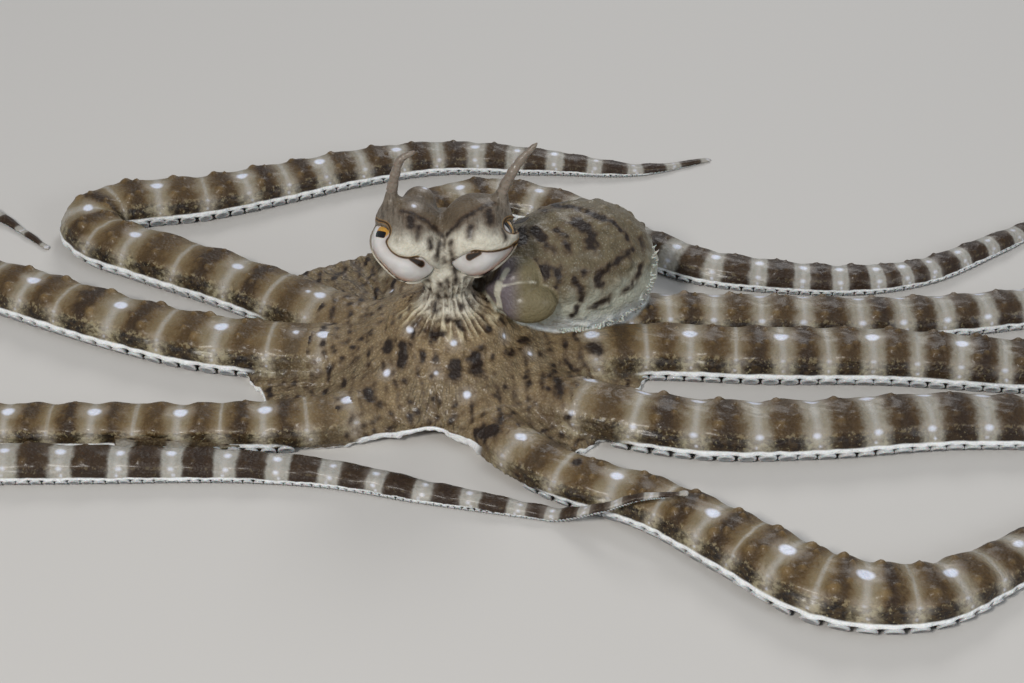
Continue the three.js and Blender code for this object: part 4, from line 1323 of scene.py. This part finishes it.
def eyeball_colour():
    """Pearly white with a pink rim, and a black slit in an orange iris. Painted shade darkens it under the
    lid's edge and in the pit.
    """
    n = Nodes("octopus_eye")
    white = n.mix(n.noise(2.5, 3), "cdc9c6", "efedeb")
    white = n.mix(n.times(n.read("rim"), 0.75), white, "dfa48d")
    gold = n.mix(n.noise(0.5, 3), "b5761c", "dfb04c")
    colour = n.mix(n.step(n.read("iris"), 0.3, -0.3), white, gold)
    # Painted shade: soft under the lid, then a brown and a near black line at its edge and in the pit.
    colour = n.mix(n.times(n.step(n.read("shade"), 1.6, 0.0), 0.4), colour, "7d6a5c")
    colour = n.mix(n.step(n.read("shade"), 0.35, 0.05), colour, "5c4023")
    colour = n.mix(n.step(n.read("shade"), 0.12, -0.12), colour, "1e120a")
    colour = n.mix(n.step(n.read("slit"), 0.1, -0.06), colour, "030303")
    n.set(Base_Color=colour, Roughness=0.14, Subsurface_Weight=0.1, Subsurface_Scale=0.002)
    n.set(Coat_Weight=0.5, Coat_Roughness=0.06, IOR=1.38)
    n.bumps((n.noise(0.6, 2), 0.02))
    return n.material


def pupil_axes(gaze):
    """The way the pupil looks, the way its slit runs, and the way across it."""
    ahead, tilt = unit(gaze), math.radians(PUPIL_TILT)
    level = np.array((math.cos(tilt), 0, 0)) - math.sin(tilt) * VIEW_UP
    level = unit(level - (level @ ahead) * ahead)
    over = np.cross(ahead, level)
    return ahead, level, over * np.sign(over @ VIEW_UP)


def paint_ball(piece, name, points):
    """Stores where painted shade from the lid and the pit darkens the ball, and where its rim is pink."""
    across, up, near = eye_view(*points.T, EYES[name]["ball"])
    pit, inward = from_pit(name, across, up)
    lid = lid_edge(name, across, up) + 0.1 + 2 * smoothstep(inward, -0.5, 0.5)
    rim = smoothstep(near, -2.5, -0.5) * (1 - smoothstep(near, 1.0, 4.0)) * (1 - smoothstep(up, -4.0, 1.5))
    rim *= smoothstep(across * np.sign(EYES[name]["press"][0]), -4.0, 0.5)
    paint(piece, shade=np.minimum(pit, lid) + 9 * (near < 0), rim=rim)


def eyeball(name, material):
    """A ball whose rings close in on its pupil."""
    ahead, level, over = pupil_axes(EYES[name]["gaze"])
    polar = math.pi * np.linspace(0, 1, EYE_ROWS + 1)[1:-1] ** 1.5
    turn = np.linspace(0, 2 * math.pi, EYE_ROUNDS, endpoint=False)
    p, t = (v.ravel() for v in np.meshgrid(polar, turn, indexing="ij"))
    p, t = np.append(p, (0, math.pi)), np.append(t, (0, 0))
    across, high = EYE_RADIUS * p * np.cos(t), EYE_RADIUS * p * np.sin(t)
    slit = np.hypot(np.maximum(np.abs(across) - 1.2, 0), np.maximum(np.abs(high) - 0.25, 0)) - 0.45
    iris = np.hypot((across - 0.5) * 0.75, high - 0.75) - 1.5
    way = (np.cos(p)[:, None] * ahead + (np.sin(p) * np.cos(t))[:, None] * level
           + (np.sin(p) * np.sin(t))[:, None] * over)
    middle = np.array(EYES[name]["ball"])
    out = pressed_radius(name, *eye_view(*(middle[:, None] + way.T), middle))
    out += 0.15 * np.exp(-(p / 0.35) ** 2) - 0.1 * (1 - smoothstep(slit, -0.1, 0.15))
    points = middle + way * out[:, None]
    handed = 1 if np.cross(level, over) @ ahead > 0 else -1
    front, rear = len(points) - 2, len(points) - 1
    quads = ring_quads(EYE_ROWS - 1, EYE_ROUNDS)
    last = ring_cap(front - EYE_ROUNDS, EYE_ROUNDS, rear)
    caps = np.vstack([ring_cap(0, EYE_ROUNDS, front), last[:, ::-1]])
    piece = mesh_piece(f"eyeball_{name}", points, material, quads[:, ::handed], caps[:, ::handed])
    paint(piece, slit=slit, iris=iris)
    paint_ball(piece, name, points)
    attach(piece, "eyeball", f"eye_{name}")


def tube(line, radii, sides):
    """Points, quads and triangles of a round tube along a line, closed by a point at each end."""
    line = np.asarray(line, float)
    ahead = np.gradient(line, axis=0)
    ahead /= np.linalg.norm(ahead, axis=1, keepdims=True)
    first = np.cross(ahead, (0, 1, 0))
    first /= np.linalg.norm(first, axis=1, keepdims=True)
    second = np.cross(ahead, first)
    turn = np.linspace(0, 2 * math.pi, sides, endpoint=False)[None, :, None]
    spokes = np.cos(turn) * first[:, None] + np.sin(turn) * second[:, None]
    rings = line[:, None] + np.asarray(radii)[:, None, None] * spokes
    points = np.vstack([rings.reshape(-1, 3), line[:1], line[-1:]])
    start, end = len(points) - 2, len(points) - 1
    caps = np.vstack([ring_cap(0, sides, start)[:, ::-1], ring_cap(start - sides, sides, end)])
    return points, ring_quads(len(line), sides)[:, ::-1], caps


def horn_material():
    n = Nodes("octopus_horn")
    colour = n.mix(n.noise(1.6, 4), "665c51", "968a7d")
    colour = n.mix(n.times(n.step(n.noise(0.9, 3), 0.55, 0.72), 0.5), colour, "4c3e2e")
    n.set(Base_Color=colour, Roughness=0.4, Subsurface_Weight=0.12, Subsurface_Scale=0.0012)
    n.set(Coat_Weight=0.25, Coat_Roughness=0.16, IOR=1.38)
    n.bumps((n.noise(0.4, 3), 0.14))
    return n.material


def horn(name, material):
    """A fleshy horn: flared where it leaves the brow, knobbly, and thin at its tip."""
    line, along = even_steps(centripetal(HORN_LINES[name]), 0.25)
    share = along / along[-1]
    radii = 1.3 - 0.35 * share - 0.5 * share ** 4 + 0.5 * np.exp(-along / 2.2)
    radii *= 1 + 0.05 * np.sin(along * 2.1) + 0.03 * np.sin(along * 5.3 + 1)
    radii[-4:] *= (0.97, 0.86, 0.66, 0.3)
    points, *faces = tube(line, radii, 20)
    points += 0.06 * noise(*points.T, 0.8, 91)[:, None]
    piece = mesh_piece(f"brow_horn_{name}", points, material, *faces)
    attach(piece, "head_skin", f"horn_{name}")


# ---------------------------------------------------------------- papillae on the mantle

# The line of the fringe, as pixels of the photograph just inside the mantle's outline.
PAPILLAE_LINE = [
    (653, 247), (654, 265), (649, 286), (637, 307), (618, 320), (597, 327), (573, 330), (560, 330),
]
PAPILLAE_COUNT, PAPILLA_LENGTH, PAPILLA_RADIUS = 64, 1.15, 0.42


def papilla_material():
    n = Nodes("octopus_papillae")
    n.set(Base_Color=n.mix(n.noise(1.2, 3), "a3a69d", "cfd1c9"), Roughness=0.45)
    n.set(Subsurface_Weight=0.2, Subsurface_Scale=0.0012, Coat_Weight=0.15, Coat_Roughness=0.2, IOR=1.38)
    return n.material


def papilla(root, normal, draw):
    """A short point that leans with the skin and bends up."""
    lean = unit(np.array(normal) - 0.35 * VIEW_BACK + draw.normal(0, 0.3, 3))
    length = PAPILLA_LENGTH * draw.uniform(0.35, 1.3)
    reach = np.linspace(-0.4, 1, 6)[:, None]
    bend = np.array((0, 0, 0.35 * length)) * np.maximum(reach, 0) ** 2
    radii = PAPILLA_RADIUS * draw.uniform(0.7, 1.2) * (1 - 0.8 * np.linspace(0, 1, 6) ** 1.2)
    return tube(root + lean * length * reach + bend, radii, 8)


def papillae(tree):
    """A fringe of short pale points along the mantle's lower edge, joined into one mesh."""
    line = np.array(PAPILLAE_LINE, float)
    draw = np.random.default_rng(17)
    parts, count = [], 0
    for share in np.linspace(0, 1, PAPILLAE_COUNT):
        across, down = (np.interp(share * (len(line) - 1), np.arange(len(line)), line[:, i]) for i in (0, 1))
        place, way = camera_ray(across + draw.normal(0, 1.2), down + draw.normal(0, 1.2))
        hit, normal, *_ = tree.ray_cast(Vector(place * MM), Vector(way))
        if hit is None or mantle_field(*(np.array(hit) / MM)) > 1.5:
            continue
        points, quads, caps = papilla(np.array(hit) / MM, normal, draw)
        parts.append((points, quads + count, caps + count))
        count += len(points)
    points, quads, caps = (np.vstack(part) for part in zip(*parts))
    attach(mesh_piece("mantle_papillae", points, papilla_material(), quads, caps), "mantle_skin")


# ---------------------------------------------------------------- suckers

SUCKER_RADIUS = 0.122                # over the arm's width
SUCKER_OUT = 0.442                   # from the arm's middle to a sucker's, over its width
SUCKER_DROP = 38                     # degrees below level that a sucker faces
SMALLEST_SUCKER = 0.2                # radius at which the rows end, near the tip
# From its stalk to its pit: (distance from the axis, distance ahead along the axis), over the radius.
SUCKER_PROFILE = np.array([(0.5, -0.75), (0.86, -0.3), (1.02, 0.0), (1.0, 0.16),
                           (0.86, 0.22), (0.7, 0.1), (0.5, -0.04), (0.2, -0.2)])
SUCKER_PIT, SUCKER_STRETCH = -0.3, 1.06   # the pit's depth, and how much longer a sucker is than wide
SUCKER_TURN = np.linspace(0, 2 * math.pi, 14, endpoint=False)
UPWARD = np.array((0, 0, 1))


def sucker_material():
    n = Nodes("octopus_suckers")
    face = n.mix(n.noise(0.9, 3), "959da3", "c3c8ca")
    # Painted shade in the sucker's pit.
    face = n.mix(n.step(n.read("ring"), 0.34, 0.16), face, "55524f")
    rim = n.mix(n.noise(1.6, 3), "a9aaa8", "d2d6d8")
    colour = n.mix(n.step(n.read("ring"), 0.7, 0.84), face, rim)
    # Painted shade on the lower side of each sucker.
    colour = n.mix(n.step(n.read("high"), 0.0, -0.7), colour, "8b8b8c")
    n.set(Base_Color=colour, Roughness=0.3, Subsurface_Weight=0.2, Subsurface_Scale=0.0012)
    n.set(Coat_Weight=0.3, Coat_Roughness=0.12, IOR=1.38)
    n.bumps((n.noise(0.5, 2), 0.05))
    return n.material


def sucker_stations(arm, hand):
    """Places along the arm for one row, which is half a step out of time with the other."""
    small = np.flatnonzero(SUCKER_RADIUS * arm.width < SMALLEST_SUCKER)
    last = arm.place[small[0]] if len(small) else arm.length
    first, last = arm.at(np.array((arm.root - 6, min(last, arm.length - 4))), arm.beats)
    return np.interp(np.arange(math.ceil(first), last - 1) + 0.5 * (hand > 0), arm.beats, arm.place)


def sucker_row(number, arm, hand):
    """The points of one row of suckers: for each of them its rings, from the stalk in, and its pit."""
    places = sucker_stations(arm, hand)
    width = arm.at(places, arm.width)
    middle = np.stack([arm.at(places, arm.line[:, i]) for i in range(3)], 1)
    ahead = np.stack([arm.at(places, arm.ahead[:, i]) for i in range(2)] + [0 * places], 1)
    ahead /= np.linalg.norm(ahead, axis=1, keepdims=True)
    outward = np.stack([ahead[:, 1], -ahead[:, 0], 0 * places], 1) * hand
    radius = SUCKER_RADIUS * width * (1 + 0.05 * np.sin(7.3 * places + number))
    drop = np.radians(SUCKER_DROP + 5 * np.sin(3.1 * places + 2 * number + hand))[:, None]
    facing = outward * np.cos(drop) - UPWARD * np.sin(drop)
    over = outward * np.sin(drop) + UPWARD * np.cos(drop)
    centre = middle + outward * (SUCKER_OUT * width)[:, None]
    centre[:, 2] += radius * (np.cos(drop[:, 0]) + 0.02) + 0.05
    far, forth = (column[None, :, None, None] for column in SUCKER_PROFILE.T)
    centre, facing, ahead, over = (v[:, None, None] for v in (centre, facing, ahead, over))
    turn, radius = SUCKER_TURN[:, None], radius[:, None, None, None]
    spokes = SUCKER_STRETCH * np.cos(turn) * ahead + np.sin(turn) * over
    rings = centre + radius * (forth * facing + far * spokes)
    pits = centre + radius * SUCKER_PIT * facing
    return np.concatenate([rings.reshape(len(places), -1, 3), pits.reshape(-1, 1, 3)], 1)


def suckers():
    """Two rows under each arm, joined into one mesh."""
    rows = [sucker_row(number, arm, hand) for number, arm in enumerate(arms) for hand in (-1, 1)]
    points = np.concatenate(rows)
    count, size = points.shape[:2]
    points = points.reshape(-1, 3)
    points[:, 2] = np.maximum(points[:, 2], 0)
    rings, sides = len(SUCKER_PROFILE), len(SUCKER_TURN)
    starts = np.arange(count)[:, None, None] * size
    quads = (starts + ring_quads(rings, sides)).reshape(-1, 4)
    caps = (starts + ring_cap((rings - 1) * sides, sides, size - 1)[:, ::-1]).reshape(-1, 3)
    piece = mesh_piece("suckers", points, sucker_material(), quads, caps)
    # ring and high place the painted shade in the pit and on the lower side.
    ring = np.append(np.repeat(SUCKER_PROFILE[:, 0], sides), 0)
    high = np.append(SUCKER_PROFILE[:, :1] * np.sin(SUCKER_TURN), 0)
    paint(piece, ring=np.tile(ring, count), high=np.tile(high, count))
    attach(piece, "banded_skin")


# ---------------------------------------------------------------- floor, light and camera


def camera():
    """The photograph's view: along +Y and down."""
    data = bpy.data.cameras.new("camera")
    data.sensor_width = 36
    data.lens = data.sensor_width / 2 / math.tan(math.radians(CAMERA_WIDTH / 2))
    data.clip_start, data.clip_end = 0.01, 20
    made = bpy.data.objects.new("camera", data)
    made.location = Vector(CAMERA_PLACE) * MM
    made.rotation_euler = (math.radians(90 - CAMERA_DROP), 0, 0)
    bpy.context.scene.collection.objects.link(made)
    bpy.context.scene.camera = made


def lamp(name, place, size, power, colour=(1, 1, 1)):
    data = bpy.data.lights.new(name, "AREA")
    data.shape = "DISK"
    data.size = size
    data.energy = power
    data.color = colour
    made = bpy.data.objects.new(name, data)
    made.location = place
    made.rotation_euler = (-Vector(place)).to_track_quat("-Z", "Y").to_euler()
    bpy.context.scene.collection.objects.link(made)


def stage():
    """A wide pale floor under a key, a fill and a rim lamp, in soft bluish light."""
    side = 6.0                       # metres
    finish = bpy.data.materials.new("floor")
    finish.use_nodes = True
    shader = finish.node_tree.nodes["Principled BSDF"]
    shader.inputs["Base Color"].default_value = (0.62, 0.6, 0.57, 1)
    shader.inputs["Roughness"].default_value = 0.7
    corners = np.array([(-1, -1, 0), (1, -1, 0), (1, 1, 0), (-1, 1, 0)]) * side / 2 / MM
    mesh_piece("floor", corners, finish, np.array([[0, 1, 2, 3]]))
    world = bpy.data.worlds.new("studio")
    world.use_nodes = True
    world.node_tree.nodes["Background"].inputs["Color"].default_value = (0.82, 0.87, 0.95, 1)
    world.node_tree.nodes["Background"].inputs["Strength"].default_value = 0.3
    bpy.context.scene.world = world
    bpy.context.scene.view_settings.view_transform = "Standard"
    lamp("key", (-0.4, -0.75, 0.8), 0.22, 7.5, (1, 0.97, 0.93))
    lamp("fill", (0.75, -0.6, 0.5), 0.4, 2.2, (0.92, 0.96, 1))
    lamp("rim", (0.2, 0.9, 0.7), 0.4, 3)


camera()
stage()
papillae(skin())
eye_finish, horn_finish = eyeball_colour(), horn_material()
for side in EYES:
    eyeball(side, eye_finish)
    horn(side, horn_finish)
suckers()
